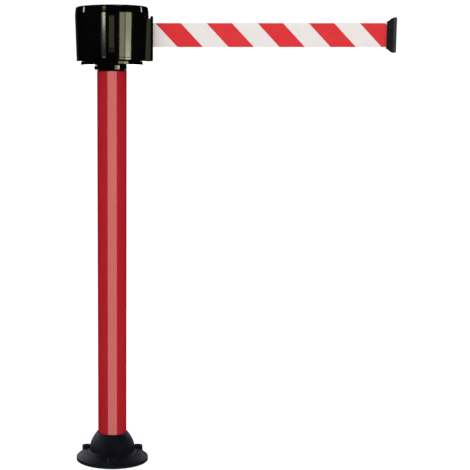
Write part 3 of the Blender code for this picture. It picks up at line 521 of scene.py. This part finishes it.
def base_profile():
    """The base's section, with a soft corner where the dome meets the flange."""
    rim, foot = BASE_RADIUS, DOME_FOOT_RADIUS
    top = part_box("base_casting")[1][2]
    socket = TUBE_RADIUS + GAP
    lip = foot - DOME_SPREAD
    steps = 26
    outside = []
    for step in range(steps + 1):
        share = 1 - step / steps
        radius = lip + DOME_SPREAD * (1 - share**DOME_FULLNESS)
        outside.append((radius, DOME_FOOT + (top - DOME_FOOT) * share))
    steps = 18
    for step in range(1, steps):
        radius = foot + (rim - 1.2 * MM - foot) * step / steps
        outside.append((radius, flange_height(radius)))
    outside = soften_corners(outside, 4)
    outside += arc((rim - 2.0 * MM, FLANGE_RIM - 1.2 * MM), 2.0 * MM, 70, 0, 6)
    outside += [(rim, 0.8 * MM), (rim - 0.6 * MM, 0)]
    inside = [
        (rim - FLANGE_WALL, 0),
        (rim - FLANGE_WALL, flange_height(rim - FLANGE_WALL) - FLANGE_WALL),
        (foot, DOME_FOOT - FLANGE_WALL),
        (foot - FLANGE_WALL - 1.4 * MM, 0.45 * top),
        (foot - FLANGE_WALL - 5 * MM, 0.65 * top),
        (socket + FLANGE_WALL, 0.78 * top),
        (socket + FLANGE_WALL, 0),
        (0, 0),
    ]
    socket_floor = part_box("post_tube")[0][2] - GAP
    lip_edge = [(socket, top - 0.5 * MM), (socket + 0.4 * MM, top)]
    return [(0, socket_floor), (socket, socket_floor), *lip_edge, *outside, *inside]


def soften_corners(points, rounds):
    """Average each point with its neighbours, but keep both ends."""
    for _ in range(rounds):
        middle = []
        for before, here, after in zip(points, points[1:], points[2:]):
            middle.append(tuple((b + 2 * h + a) / 4 for b, h, a in zip(before, here, after)))
        points = [points[0], *middle, points[-1]]
    return points


def tower(name, degrees):
    """A screw tower whose fillet follows the slope of the flange under it."""
    centre = on_circle(BASE_RADIUS - TOWER_INSET, degrees)
    around = 72
    bm = bmesh.new()

    def ring(radius, height_at):
        ring_verts = []
        for step in range(around):
            dx, dy = on_circle(radius, 360 * step / around)
            x, y = centre[0] + dx, centre[1] + dy
            ring_verts.append(bm.verts.new((x, y, height_at(x, y))))
        return ring_verts

    def surface(lift):
        return lambda x, y: flange_height(min(math.hypot(x, y), BASE_RADIUS - 1.5 * MM)) + lift

    rings = [ring(TOWER_RADIUS - 1 * MM, lambda x, y: 3 * MM)]
    rings.append(ring(TOWER_RADIUS + TOWER_FILLET, surface(-2 * MM)))
    for step in range(7):
        angle = math.radians(90 * step / 6)
        radius = TOWER_RADIUS + TOWER_FILLET * (1 - math.sin(angle))
        lift = TOWER_FILLET * (1 - math.cos(angle)) - 0.05 * MM
        rings.append(ring(radius, surface(lift)))
    edge = 0.9 * MM
    for x, z in arc((TOWER_RADIUS - edge, TOWER_TOP - edge), edge, 0, 90, 4):
        rings.append(ring(x, lambda *_, z=z: z))
    bm.faces.new(rings[0])
    bm.faces.new(rings[-1])
    for one, two in zip(rings, rings[1:]):
        for step in range(around):
            bm.faces.new((one[step - 1], one[step], two[step], two[step - 1]))
    return from_bmesh(name, bm)


def make_base():
    base = revolve("base_moulding", base_profile(), FINE)
    for number, degrees in enumerate(TOWER_ANGLES):
        combine(base, tower(f"tower_{number}", degrees), "UNION")
    for number, degrees in enumerate(TOWER_ANGLES):
        x, y = on_circle(BASE_RADIUS - TOWER_INSET, degrees)
        edge = 0.5 * MM
        hole_profile = [
            (0, TOWER_TOP + 1 * MM),
            (ANCHOR_RADIUS + edge + 1 * MM, TOWER_TOP + 1 * MM),
            (ANCHOR_RADIUS, TOWER_TOP - edge),
            (ANCHOR_RADIUS, -1 * MM),
            (0, -1 * MM),
        ]
        combine(base, moved(revolve(f"anchor_{number}", hole_profile, 48), (x, y, 0)))
    add(smooth(base, 32), BASE_PLASTIC, "post", ["base_casting"])


def make_tube():
    low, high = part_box("post_tube")
    radius, wall = high[0], 1.5 * MM
    profile = [(radius, high[2]), (radius, low[2]), (radius - wall, low[2]), (radius - wall, high[2])]
    tube = revolve("tube_painted", profile, FINE, closed=True)
    tube.visible_glossy = False
    add(round_edges(tube, 0.35 * MM), PAINT, "post", ["post_tube"])


# ---------------------------------------------------------------- head

SHELL_WALL = 2.5 * MM
SHELL_TAPER = 3.3 * MM
SHELL_FLOOR_INNER = 52.0 * MM
SLOT_HALF = 5.65 * MM
CATCH_RADIUS = 4.5 * MM
CATCH_DEPTH = 4.0 * MM
CATCH_EDGE = 1.4 * MM
WINDOW_HALF = 12.3 * MM
BEAD_HEIGHT = 6.6 * MM
BEAD_DEPTH = 0.55 * MM


def shell_section():
    """The shell's outer side as (radius, height), from the inner edge of its floor up to its top."""
    low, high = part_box("cassette_shell")
    top_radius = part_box("cassette_cap")[1][0]
    bottom_radius = top_radius - SHELL_TAPER
    bottom, top = low[2], high[2]

    def at(height):
        return bottom_radius + (top_radius - bottom_radius) * (height - bottom) / (top - bottom)

    corner = 1.8 * MM
    section = [(SHELL_FLOOR_INNER, bottom), (0.6 * bottom_radius + 0.4 * SHELL_FLOOR_INNER, bottom)]
    section += arc((at(bottom) - corner, bottom + corner), corner, -90, 0, 5)
    groove = bottom + BEAD_HEIGHT
    section += [
        (at(groove - 1.3 * MM), groove - 1.3 * MM),
        (at(groove - 0.7 * MM), groove - 0.7 * MM),
        (at(groove) - BEAD_DEPTH, groove - 0.25 * MM),
        (at(groove) - BEAD_DEPTH, groove + 0.25 * MM),
        (at(groove + 0.7 * MM), groove + 0.7 * MM),
    ]
    slot_low, slot_high = slot_heights()
    window_low, window_high = window_heights()
    heights = {slot_low, slot_high, window_low, window_high}
    heights |= {groove + 1.4 * MM, top - 1.4 * MM, top - 0.8 * MM}
    heights |= {window_low + (window_high - window_low) * step / 6 for step in range(1, 6)}
    section += [(at(height), height) for height in sorted(heights)]
    section.append((at(top) - 0.5 * MM, top))
    return section


def slot_heights():
    """Lower and upper end of the receiver slots, which stand clear of the pockets' walls."""
    low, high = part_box("receiver_front")
    return low[2] + 2 * MM, high[2] - 2 * MM


def window_heights():
    low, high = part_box("belt_nozzle")
    return low[2] - GAP, high[2] + GAP


def shell_columns(radius):
    """Angles round the shell, with columns that run along the edges of the slots and the window."""
    halves = [WINDOW_HALF, SLOT_HALF, SLOT_HALF, SLOT_HALF]
    edges = [math.asin(half / radius) for half in halves]
    inner, outer = 6, 42
    angles = []
    for quarter in range(4):
        centre = quarter * math.pi / 2
        following = centre + math.pi / 2 - edges[(quarter + 1) % 4]
        start, end = centre - edges[quarter], centre + edges[quarter]
        angles += [start + (end - start) * step / inner for step in range(inner)]
        angles += [end + (following - end) * step / outer for step in range(outer)]
    return angles, inner, outer


def make_shell():
    """The shell's skin with its slots left open, thickened inwards and rounded."""
    bm = bmesh.new()
    rows = []
    for radius, height in shell_section():
        angles, inner, outer = shell_columns(radius)
        rows.append([bm.verts.new((radius * math.cos(a), radius * math.sin(a), height)) for a in angles])
    slot_low, slot_high = slot_heights()
    window_low, window_high = window_heights()
    for one, two in zip(rows, rows[1:]):
        middle = (one[0].co.z + two[0].co.z) / 2
        for step in range(len(one)):
            quarter, column = divmod(step, inner + outer)
            low, high = (window_low, window_high) if quarter == 0 else (slot_low, slot_high)
            if column < inner and low < middle < high:
                continue
            after = (step + 1) % len(one)
            bm.faces.new((one[step], one[after], two[after], two[step]))
    bmesh.ops.recalc_face_normals(bm, faces=bm.faces)
    mesh = bpy.data.meshes.new("shell_moulding")
    bm.to_mesh(mesh)
    bm.free()
    shell = bpy.data.objects.new("shell_moulding", mesh)
    wall = shell.modifiers.new("wall", "SOLIDIFY")
    wall.thickness = SHELL_WALL
    wall.offset = -1
    wall.use_even_offset = True
    add(round_edges(shell, 0.35 * MM, 2, 50), GLOSS, "post", ["cassette_shell"])


def make_cap():
    """The cap, with a rounded top edge, a seam above the shell and a lip that drops into it."""
    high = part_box("cassette_cap")[1]
    shell_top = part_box("cassette_shell")[1][2]
    seam = shell_top + GAP
    radius = high[0]
    top = high[2]
    edge = 3.4 * MM
    top_radius = radius - 1.55 * MM
    lip = radius - SHELL_WALL - 0.6 * MM

    def side(height):
        return radius - (radius - top_radius) * (height - seam) / (top - edge - seam)

    ceiling = top - 3.5 * MM
    profile = [
        (0, top),
        (0.5 * radius, top - 0.02 * MM),
        *arc((top_radius - edge, top - edge), edge, 90, 5, 8),
        (side(top - edge - 0.6 * MM), top - edge - 0.6 * MM),
        (side(seam + 0.9 * MM), seam + 0.9 * MM),
        (side(seam + 0.4 * MM), seam + 0.4 * MM),
        (side(seam) - 0.35 * MM, seam),
        (lip, seam),
        (lip, seam - 1.9 * MM),
        (lip - 2.5 * MM, seam - 1.9 * MM),
        (lip - 2.5 * MM, ceiling),
        (0, ceiling),
    ]
    cap = revolve("cap_moulding", profile, FINE)
    add(smooth(cap, 40), GLOSS, "post", ["cassette_cap"])


def make_disc_and_neck():
    """The disc under the shell, its neck, and the rim of the spigot below them."""
    low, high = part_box("cassette_base")
    disc = high[0]
    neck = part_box("post_tube")[1][0]
    disc_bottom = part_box("case_screw_1")[0][2] - 0.2 * MM
    bore = neck - 4.5 * MM
    fillet = 1.5 * MM
    profile = [
        (0, high[2]),
        (disc - 0.8 * MM, high[2]),
        *arc((disc - 0.8 * MM, high[2] - 0.8 * MM), 0.8 * MM, 60, 0, 4),
        *arc((disc - 1.6 * MM, disc_bottom + 1.6 * MM), 1.6 * MM, 0, -90, 6),
        *arc((neck + fillet, disc_bottom - fillet), fillet, 90, 180, 6),
        (neck, low[2] + 0.4 * MM),
        (neck - 0.4 * MM, low[2]),
        (bore, low[2]),
        (bore, low[2] + 9.5 * MM),
        (0, low[2] + 9.5 * MM),
    ]
    base = revolve("disc_and_neck", profile, FINE)
    for number in range(1, 5):
        head_low, head_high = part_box(f"case_screw_{number}")
        x, y = (head_low[0] + head_high[0]) / 2, (head_low[1] + head_high[1]) / 2
        radius = (head_high[0] - head_low[0]) / 2 + GAP
        sink_profile = cylinder_profile(radius, disc_bottom - 1 * MM, disc_bottom + 3 * MM)
        combine(base, moved(revolve(f"sink_{number}", sink_profile, SMALL), (x, y, 0)))
    add(smooth(base, 40), GLOSS, "post", ["cassette_base"])

    spigot_low, spigot_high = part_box("head_spigot")
    tube_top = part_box("post_tube")[1][2]
    rim_low, rim_high = tube_top + GAP, low[2] - GAP
    inner = neck - 1.5 * MM - GAP
    profile = [
        (bore - GAP, spigot_high[2]),
        (bore - GAP, rim_high),
        (neck - 0.3 * MM, rim_high),
        (neck, rim_high - 0.3 * MM),
        (neck, rim_low + 0.3 * MM),
        (neck - 0.3 * MM, rim_low),
        (inner, rim_low),
        (inner, spigot_low[2]),
        (inner - 3.5 * MM, spigot_low[2]),
        (inner - 3.5 * MM, spigot_high[2]),
    ]
    spigot = revolve("spigot_moulding", profile, MEDIUM, closed=True)
    add(smooth(spigot, 40), GLOSS, "post", ["head_spigot"])


def cylinder_profile(radius, low, high):
    return [(0, high), (radius, high), (radius, low), (0, low)]


def make_receiver(side, degrees):
    """A pocket behind a slot, with a round catch at its foot, turned from the front to its side."""
    low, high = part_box("receiver_front")
    slot_low, slot_high = slot_heights()
    back = -OPENING_BOX["receiver_slot_front"][1][1] - 0.3 * MM
    half = high[0]
    top_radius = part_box("cassette_cap")[1][0]
    pocket = box_between(f"pocket_{side}", (-half, -top_radius, low[2]), (half, high[1], high[2]))
    above = high[2] + 1 * MM
    inside = [(0, above), (-low[1] - 0.1 * MM, above), (-low[1] - 3.0 * MM, low[2]), (0, low[2])]
    combine(pocket, revolve(f"inside_{side}", inside, FINE), "INTERSECT")
    hollow = box_between(f"hollow_{side}", (-SLOT_HALF, -top_radius, slot_low), (SLOT_HALF, -back, slot_high))
    combine(pocket, hollow)
    knob_profile = [
        (0, CATCH_DEPTH),
        *arc((CATCH_RADIUS - CATCH_EDGE, CATCH_DEPTH - CATCH_EDGE), CATCH_EDGE, 90, 0, 6),
        (CATCH_RADIUS, -1 * MM),
        (0, -1 * MM),
    ]
    knob = revolve(f"knob_{side}", knob_profile, 48)
    combine(pocket, moved(knob, (0, -back, slot_low + SLOT_HALF), (math.pi / 2, 0, 0)), "UNION")
    add(round_edges(pocket, 0.3 * MM, 2, 50), GLOSS, "post", [f"receiver_{side}"])
    pocket.data.materials.append(CATCH_PLASTIC)
    for face in pocket.data.polygons:
        away = math.hypot(face.center.x, face.center.z - slot_low - SLOT_HALF)
        ahead = -back - face.center.y
        if away < CATCH_RADIUS + 0.1 * MM and 0.01 * MM < ahead < CATCH_DEPTH + 0.1 * MM:
            face.material_index = 1
    moved(pocket, turn=(0, 0, math.radians(degrees)))


# ---------------------------------------------------------------- screws


# The cross recess, as shares of the head's radius, and how far it is turned, in radians
RECESS_REACH = 0.55
RECESS_HALF_WIDTH = 0.13
RECESS_TURN = 0.3


def pan_head_screw(name, node_name, axis, material=ZINC):
    """A pan-head screw with a cross recess. Its head lies at the end of the CAD screw that axis points to."""
    low, high = (Vector(corner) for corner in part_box(node_name))
    middle, size = (low + high) / 2, high - low
    index = max(range(3), key=lambda i: abs(axis[i]))
    length = size[index]
    head = max(size[(index + 1) % 3], size[(index + 2) % 3]) / 2
    height = 0.55 * head
    shank = 0.5 * head
    profile = [
        (0, 0),
        *reversed(arc((head - 0.6 * height, -0.6 * height), 0.6 * height, 0, 80, 5)),
        (head, -height),
        (shank, -height),
        (shank, 0.6 * MM - length),
        (0.3 * shank, -length),
        (0, -length),
    ]
    screw = revolve(name, profile, SMALL)
    reach, half_arm = RECESS_REACH * head, RECESS_HALF_WIDTH * head
    for quarter in (0, math.pi / 2):
        arm = box_between(f"{name}_arm", (-reach, -half_arm, -0.6 * height), (reach, half_arm, 1 * MM))
        combine(screw, moved(arm, turn=(0, 0, quarter + RECESS_TURN)))
    target = Vector(axis)
    turn = Vector((0, 0, 1)).rotation_difference(target).to_matrix().to_4x4()
    tip = middle + target * length / 2
    screw.data.transform(Matrix.Translation(tip) @ turn)
    body = body_of(frame["nodes"][node_name])[0]
    return add(smooth(screw, 35), material, body, [node_name])


def make_neck_screw():
    """A black button-head screw with a hexagon socket, on the side of the neck."""
    low, high = (Vector(corner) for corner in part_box("neck_screw"))
    radius = (high.z - low.z) / 2
    head = 5.6 * MM
    profile = [
        (0, head),
        (0.35 * radius, head),
        *arc((0.45 * radius, 0.3 * head), 0.62 * radius, 78, 12, 7),
        (radius, 0.25 * head),
        (radius, 0.4 * MM),
        (radius - 0.4 * MM, 0),
        (3.0 * MM, 0),
        (3.0 * MM, -9.5 * MM),
        (0, -9.5 * MM),
    ]
    screw = revolve("neck_button_screw", profile, 64)
    socket = revolve("hexagon", cylinder_profile(0.42 * radius, 0.45 * head, 1.5 * head), 6)
    combine(screw, socket)
    centre = (low + high) / 2
    moved(screw, (low.x + head, centre.y, centre.z), (0, -math.pi / 2, 0))
    add(smooth(screw, 35), BLACK_STEEL, "post", ["neck_screw"])


# ---------------------------------------------------------------- belt outlet


PLATE_CORNER = 6 * MM


def nozzle_window():
    """A box that cuts the nozzle's way through the block or the plate."""
    low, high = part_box("belt_nozzle")
    return box_between("window", (0, low[1] - GAP, low[2] - GAP), (0.2, high[1] + GAP, high[2] + GAP))


def make_outlet():
    """The block against the shell and the rounded plate on its end, both cut through for the nozzle."""
    low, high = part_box("outlet_block")
    block = box_between("outlet_housing", low, high)
    shell_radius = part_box("cassette_cap")[1][0]
    above, below = high[2] + 9 * MM, low[2] - 3 * MM
    cone = [
        (0, above),
        (shell_radius + 0.5 * MM, above),
        (shell_radius - SHELL_TAPER + 0.2 * MM, below),
        (0, below),
    ]
    combine(block, revolve("shell_cone", cone, FINE))
    combine(block, nozzle_window())
    add(round_edges(block, 1.0 * MM, 3, 50), GLOSS, "post", ["outlet_block"])

    low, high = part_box("outlet_plate")
    half_height, half_width = (high[2] - low[2]) / 2, (high[1] - low[1]) / 2
    cut_back = 1.0 * MM
    outline = rounded_rectangle(half_height - cut_back, half_width, PLATE_CORNER)
    plate = extrude_outline("outlet_face", outline, high[0] - low[0])
    moved(plate, ((low[0] + high[0]) / 2, 0, (low[2] + high[2]) / 2 - cut_back), (0, math.pi / 2, 0))
    combine(plate, nozzle_window())
    for name in ("outlet_screw_front", "outlet_screw_rear"):
        screw_low, screw_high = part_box(name)
        radius = (screw_high[2] - screw_low[2]) / 2 + GAP
        sink = revolve(f"{name}_sink", cylinder_profile(radius, -2.4 * MM, 5 * MM), 40)
        y, z = (screw_low[1] + screw_high[1]) / 2, (screw_low[2] + screw_high[2]) / 2
        combine(plate, moved(sink, (high[0], y, z), (0, math.pi / 2, 0)))
    add(round_edges(plate, 0.8 * MM, 3, 50), GLOSS, "post", ["outlet_plate"])


def make_nozzle():
    """A sleeve with a smooth mouth for the belt."""
    low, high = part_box("belt_nozzle")
    middle = (low[2] + high[2]) / 2
    nozzle = box_between("nozzle_sleeve", low, high)
    half_height = (high[2] - low[2]) / 2 - 3.5 * MM
    slot = extrude_outline("mouth", rounded_rectangle(half_height, 2.5 * MM, 2.4 * MM), 0.2)
    combine(nozzle, moved(slot, (high[0], 0, middle), (0, math.pi / 2, 0)))
    add(round_edges(nozzle, 0.8 * MM, 4, 50), CLIP_PLASTIC, "post", ["belt_nozzle"])


# ---------------------------------------------------------------- belt

SELVEDGE = 1.4 * MM
SELVEDGE_SWELL = 0.12 * MM
BELT_HALF_THICKNESS = 0.3 * MM
BELT_STEP = 4.0 * MM
BLEND_START = 10 * MM
ROLL_BORE = 16.3 * MM
ROLL_PITCH = 0.6 * MM
# Half of a wound turn's thickness, which is drawn thinner than the pitch so that turns don't touch
ROLL_HALF_THICKNESS = 0.2 * MM
ROLL_STEPS = 60


def belt_section(half_width, half_thickness):
    """The belt's section as (offset from its plane, height): flat, with a rounded woven edge on each side."""
    swollen = half_thickness + SELVEDGE_SWELL
    face = [(half_thickness, share * half_width) for share in (-0.5, 0, 0.5)]
    edge = [
        (half_thickness, half_width - SELVEDGE - 0.3 * MM),
        (swollen, half_width - SELVEDGE + 0.2 * MM),
        (swollen, half_width - 0.5 * MM),
        (0.6 * swollen, half_width - 0.1 * MM),
    ]
    upper = [*face, *edge, (0, half_width), *[(-offset, height) for offset, height in reversed(face + edge)]]
    lower_left = [(-offset, -height) for offset, height in edge]
    lower_right = [(offset, -height) for offset, height in reversed(edge)]
    return [*upper, *lower_left, (0, -half_width), *lower_right]


def sweep(name, stations, section):
    """A closed section carried along stations of (point, sideways direction). Its height runs along Z."""
    bm = bmesh.new()
    rings = []
    for point, sideways in stations:
        corners = [point + sideways * offset + Vector((0, 0, height)) for offset, height in section]
        rings.append([bm.verts.new(corner) for corner in corners])
    for one, two in zip(rings, rings[1:]):
        for step in range(len(section)):
            bm.faces.new((one[step - 1], one[step], two[step], two[step - 1]))
    bm.faces.new(rings[0])
    bm.faces.new(rings[-1])
    return from_bmesh(name, bm)


def make_belt():
    """The pulled-out belt, which stretches between the drum and the clip as the clip moves."""
    low, high = (Vector(corner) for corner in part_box("belt_run"))
    middle = (low.z + high.z) / 2
    count = round((high.x - low.x) / BELT_STEP)
    stations = []
    for step in range(count + 1):
        x = low.x + (high.x - low.x) * step / count
        stations.append((Vector((x, 0, middle)), Vector((0, 1, 0))))
    section = belt_section((high.z - low.z) / 2, BELT_HALF_THICKNESS)
    belt = sweep("belt_webbing", stations, section)
    smooth(belt, 60)
    bpy.context.scene.collection.objects.link(belt)
    belt.data.materials.append(WEBBING)
    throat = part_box("clip_front")[0][0]
    belt.visible_glossy = False
    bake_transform(belt, "post", "belt_end", start=(BLEND_START, 0, middle), end=(throat, 0, middle))
    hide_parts("belt_run")


def make_winding():
    """The rest of the belt, wound on the drum."""
    low, high = (Vector(corner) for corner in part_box("belt_roll"))
    centre = (low + high) / 2
    outer = (high.x - low.x) / 2
    half = ROLL_HALF_THICKNESS
    count = int((outer - ROLL_BORE) / ROLL_PITCH * ROLL_STEPS)
    stations = []
    for step in range(count + 1):
        angle = 2 * math.pi * step / ROLL_STEPS
        radius = ROLL_BORE + half + (outer - ROLL_BORE - 2 * half) * step / count
        away = Vector((math.cos(angle), math.sin(angle), 0))
        stations.append((centre + away * radius, away))
    half_width = (high.z - low.z) / 2
    section = [(half, -half_width), (half, half_width), (-half, half_width), (-half, -half_width)]
    winding = sweep("belt_winding", stations, section)
    smooth(winding, 60)
    add(winding, WEBBING, "drum", ["belt_roll"])


# ---------------------------------------------------------------- clip

THROAT_HALF = 28.75 * MM
END_HALF = 37.0 * MM
BAND_WIDTH = 7.0 * MM
BAND_PROUD = 0.35 * MM
RECESS_HALF_HEIGHT = 25.3 * MM
RECESS_LENGTH = 12 * MM
RECESS_HALF_DEPTH = 0.6 * MM


def clip_outline(length, end_half):
    """The clip from the side, as (distance from the throat, height): a waist that flares out to the end."""
    steps = 10
    upper = []
    for step in range(steps + 1):
        share = step / steps
        rise = (1 - math.cos(math.pi * share)) / 2
        upper.append((length * share, THROAT_HALF + (end_half - THROAT_HALF) * rise))
    return upper + [(x, -height) for x, height in reversed(upper)]


def make_clip():
    """The two halves that grip the belt's end, and the band across the clip's end."""
    low, high = (Vector(corner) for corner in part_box("clip_front"))
    rear_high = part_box("clip_rear")[1]
    middle = (low.z + high.z) / 2
    length = high.x - low.x - BAND_WIDTH + 0.5 * MM
    thickness = high.y - low.y
    for side, name in ((-1, "front"), (1, "rear")):
        grip = extrude_outline(f"clip_grip_{name}", clip_outline(length, END_HALF - 0.8 * MM), thickness)
        centre = side * (thickness / 2 + 0.15 * MM)
        moved(grip, (low.x, centre, middle), (math.pi / 2, 0, 0))
        recess_low = (low.x - 1 * MM, -RECESS_HALF_DEPTH, middle - RECESS_HALF_HEIGHT)
        recess_high = (low.x + RECESS_LENGTH, RECESS_HALF_DEPTH, middle + RECESS_HALF_HEIGHT)
        combine(grip, box_between("recess", recess_low, recess_high))
        add(round_edges(grip, 0.6 * MM, 3, 50), CLIP_PLASTIC, "belt_end", [f"clip_{name}"])
    band_thickness = rear_high[1] - low.y + 2 * BAND_PROUD
    outline = rounded_rectangle(BAND_WIDTH / 2, END_HALF, 2.2 * MM, 6)
    band = extrude_outline("clip_end_band", outline, band_thickness)
    moved(band, (high.x - BAND_WIDTH / 2, 0, middle), (math.pi / 2, 0, 0))
    add(round_edges(band, 0.7 * MM, 3, 50), BAND_PLASTIC, "belt_end", slot="dark_plastic")


# ---------------------------------------------------------------- floor, light and camera

HEAD_AIM = Vector((0, 0, 0.93))
TUBE_AIM = Vector((0, 0, 0.5))
BASE_AIM = Vector((0, 0, 0.03))
FLOOR_RADIUS = 40
FLOOR_GLOW = 0.56


def make_floor():
    """A wide disc that is white by its own glow and isn't seen in reflections."""
    bm = bmesh.new()
    bmesh.ops.create_circle(bm, cap_ends=True, segments=MEDIUM, radius=FLOOR_RADIUS)
    floor = from_bmesh("floor", bm)
    floor.location.z = -0.2 * MM
    bpy.context.scene.collection.objects.link(floor)
    white = new_material("floor_white", (0.9, 0.91, 0.93), 1.0, Specular_IOR_Level=0.0)
    shader_of(white).inputs["Emission Color"].default_value = (1, 1, 1, 1)
    shader_of(white).inputs["Emission Strength"].default_value = FLOOR_GLOW
    floor.data.materials.append(white)
    floor.visible_glossy = False


def make_world():
    """White to the eye and as soft light, but dark in reflections."""
    world = bpy.data.worlds.new("studio")
    bpy.context.scene.world = world
    world.use_nodes = True
    tree = world.node_tree
    background = tree.nodes["Background"]
    background.inputs["Color"].default_value = (1, 1, 1, 1)
    path = tree.nodes.new("ShaderNodeLightPath")
    strength = tree.nodes.new("ShaderNodeMapRange")
    strength.inputs["To Min"].default_value = 0.55
    strength.inputs["To Max"].default_value = 1.05
    tree.links.new(path.outputs["Is Camera Ray"], strength.inputs["Value"])
    tree.links.new(strength.outputs["Result"], background.inputs["Strength"])
    world.cycles_visibility.glossy = False


def softbox(name, azimuths, elevations, radiance, colour=(1, 1, 1), only=None, aim=HEAD_AIM, distance=3.0):
    """A panel that fills these angles as seen from aim and shows in reflections on the given pieces only.

    Azimuth 0 is the front and 90 the belt's side.
    """
    azimuth = math.radians(sum(azimuths) / 2)
    low, high = (distance * math.tan(math.radians(angle)) for angle in elevations)
    width = 2 * distance * math.tan(math.radians(azimuths[1] - azimuths[0]) / 2)
    away = Vector((math.sin(azimuth), -math.cos(azimuth), 0))
    place = aim + away * distance + Vector((0, 0, (low + high) / 2))
    light = area_light(name, place, away, (width, high - low), radiance, colour)
    light.visible_diffuse = False
    if only:
        receivers = bpy.data.collections.new(f"{name}_receivers")
        for obj in only:
            receivers.objects.link(obj)
        light.light_linking.receiver_collection = receivers


def area_light(name, place, away, size, radiance, colour=(1, 1, 1)):
    data = bpy.data.lights.new(name, "AREA")
    data.shape = "RECTANGLE"
    data.size, data.size_y = size
    data.color = colour
    data.energy = radiance * math.pi * data.size * data.size_y
    light = bpy.data.objects.new(name, data)
    light.location = place
    light.rotation_euler = Vector(away).to_track_quat("Z", "Y").to_euler()
    light.visible_camera = False
    bpy.context.scene.collection.objects.link(light)
    return light


CREAM = (1.0, 1.0, 0.66)
OLIVE = (1.0, 1.0, 0.64)
COOL = (0.74, 0.92, 1.0)
PINK = (1.0, 0.77, 0.67)
HEAD_PIECES = ("shell_moulding", "cap_moulding", "disc_and_neck")
# Elevation from, elevation to and radiance of the panels that make one long reflection each
COOL_STEPS = (
    (-4.5, -2.0, 0.45),
    (-2.0, -1.4, 0.55),
    (-1.4, -0.9, 0.7),
    (-0.9, -0.4, 0.85),
    (-0.4, 0.1, 1.05),
    (0.1, 2.4, 1.4),
)
PANE_STEPS = ((-9, -1.9, 10.5), (-1.9, -1.3, 9.4), (-1.3, -0.6, 7.4), (-0.6, 0.2, 6.2), (0.2, 7, 5.6))


def make_lights():
    """Soft light for colour, which casts no reflections, and panels that are seen only in reflections."""
    top = area_light("top", (0.1, 0, 3.4), (0, 0, 1), (2.8, 2.8), 0.7)
    front = area_light("front_fill", (0.45, -3.2, 1.2), (0.1, -1, 0.1), (2.6, 2.2), 1.33)
    for light in (top, front):
        light.visible_glossy = False

    head = [bpy.data.objects[name] for name in HEAD_PIECES]
    shell, cap = head[:2]
    softbox("left_pane", (24.5, 39.5), (-9, 7), 4.1, OLIVE, head)
    softbox("pane_bar", (39.5, 44.5), (-9, 7), 2.2, (1, 1, 0.85), head)
    for step, (low, high, radiance) in enumerate(PANE_STEPS):
        softbox(f"right_pane_{step}", (44.5, 63), (low, high), radiance, CREAM, head)
    for step, (low, high, radiance) in enumerate(COOL_STEPS):
        softbox(f"cool_strip_{step}", (-32.5, -19), (low, high), radiance, COOL, [shell])
    softbox("strip_glow", (-28, -20), (0.2, 0.6), 2.4, CREAM, [shell])
    softbox("strip_glint", (-28, -20), (0.6, 2.4), 13, CREAM, [shell])
    softbox("cap_glint", (-28, -20), (10, 19), 7, CREAM, [cap])
    softbox("cap_left_glint", (-101, -97), (10, 19), 13, (0.9, 0.93, 1.0), [cap])
    softbox("cap_right_glint", (106, 109), (10, 19), 11, only=[cap])
    softbox("cap_edge_glint", (18, 44), (42, 60), 5, only=[cap])
    pocket, block = bpy.data.objects["pocket_front"], bpy.data.objects["outlet_housing"]
    softbox("slot_glow", (-3, 13.5), (-8, 8), 0.75, OLIVE, [pocket])
    softbox("block_glow", (-8, 8), (-8, 8), 0.7, OLIVE, [block])
    softbox("rear_strip", (173, 187), (-15, 25), 2.5, only=head)
    softbox("rear_left_glow", (-172, -140), (-10, 20), 0.05, (1.0, 0.78, 0.7), head)
    for side, azimuths in (("left", (-150, -30)), ("rear", (120, 240))):
        pockets = [bpy.data.objects[f"pocket_{side}"]]
        softbox(f"{side}_pocket_glow", azimuths, (-15, 25), 0.7, OLIVE, pockets)

    tube = bpy.data.objects["tube_painted"]
    softbox("tube_window", (-34, 38), (-45, 25), 4.3, PINK, [tube], TUBE_AIM, 2.4)
    base = bpy.data.objects["base_moulding"]
    softbox("left_side", (-115, -65), (8, 50), 0.6, (0.8, 0.85, 1.0), [base], BASE_AIM, 2.0)
    softbox("left_rear", (-165, -120), (2, 40), 1.5, (0.85, 0.82, 1.0), [base], BASE_AIM, 2.0)
    softbox("right_rear", (120, 165), (2, 40), 0.8, (0.85, 0.82, 1.0), [base], BASE_AIM, 2.0)
    lit = [*head, tube, base, pocket, block]
    details = [obj for obj in bpy.context.scene.objects if obj.type == "MESH" and obj not in lit]
    softbox("left_detail", (-100, -50), (10, 50), 1.5, only=details)
    softbox("right_detail", (60, 110), (10, 50), 1.5, only=details)


def make_camera():
    """A long lens below the head's height, pitched down and shifted to put the post on the left."""
    data = bpy.data.cameras.new("camera")
    data.sensor_width = 36
    data.lens = 91.25
    data.shift_x = 0.2431
    data.shift_y = 0.1347
    camera = bpy.data.objects.new("camera", data)
    camera.location = (0.019, -2.60, 0.788)
    camera.rotation_euler = (math.radians(80.8), 0, 0)
    bpy.context.scene.collection.objects.link(camera)
    bpy.context.scene.camera = camera


finish_cad_nodes()
make_base()
make_tube()
make_shell()
make_cap()
make_disc_and_neck()
for side_name, side_degrees in (("front", 0), ("left", -90), ("rear", 180)):
    make_receiver(side_name, side_degrees)
make_neck_screw()
for screw_number in range(1, 5):
    pan_head_screw(f"case_screw_head_{screw_number}", f"case_screw_{screw_number}", (0, 0, -1))
make_outlet()
for screw_side in ("front", "rear"):
    pan_head_screw(f"outlet_screw_head_{screw_side}", f"outlet_screw_{screw_side}", (1, 0, 0), BLACK_STEEL)
make_nozzle()
make_clip()
for screw_end in ("upper", "lower"):
    pan_head_screw(f"clip_screw_head_{screw_end}", f"clip_screw_{screw_end}", (0, 1, 0))
make_belt()
make_winding()
make_floor()
make_world()
make_lights()
make_camera()
bpy.context.scene.view_settings.view_transform = "Standard"
bpy.context.view_layer.update()
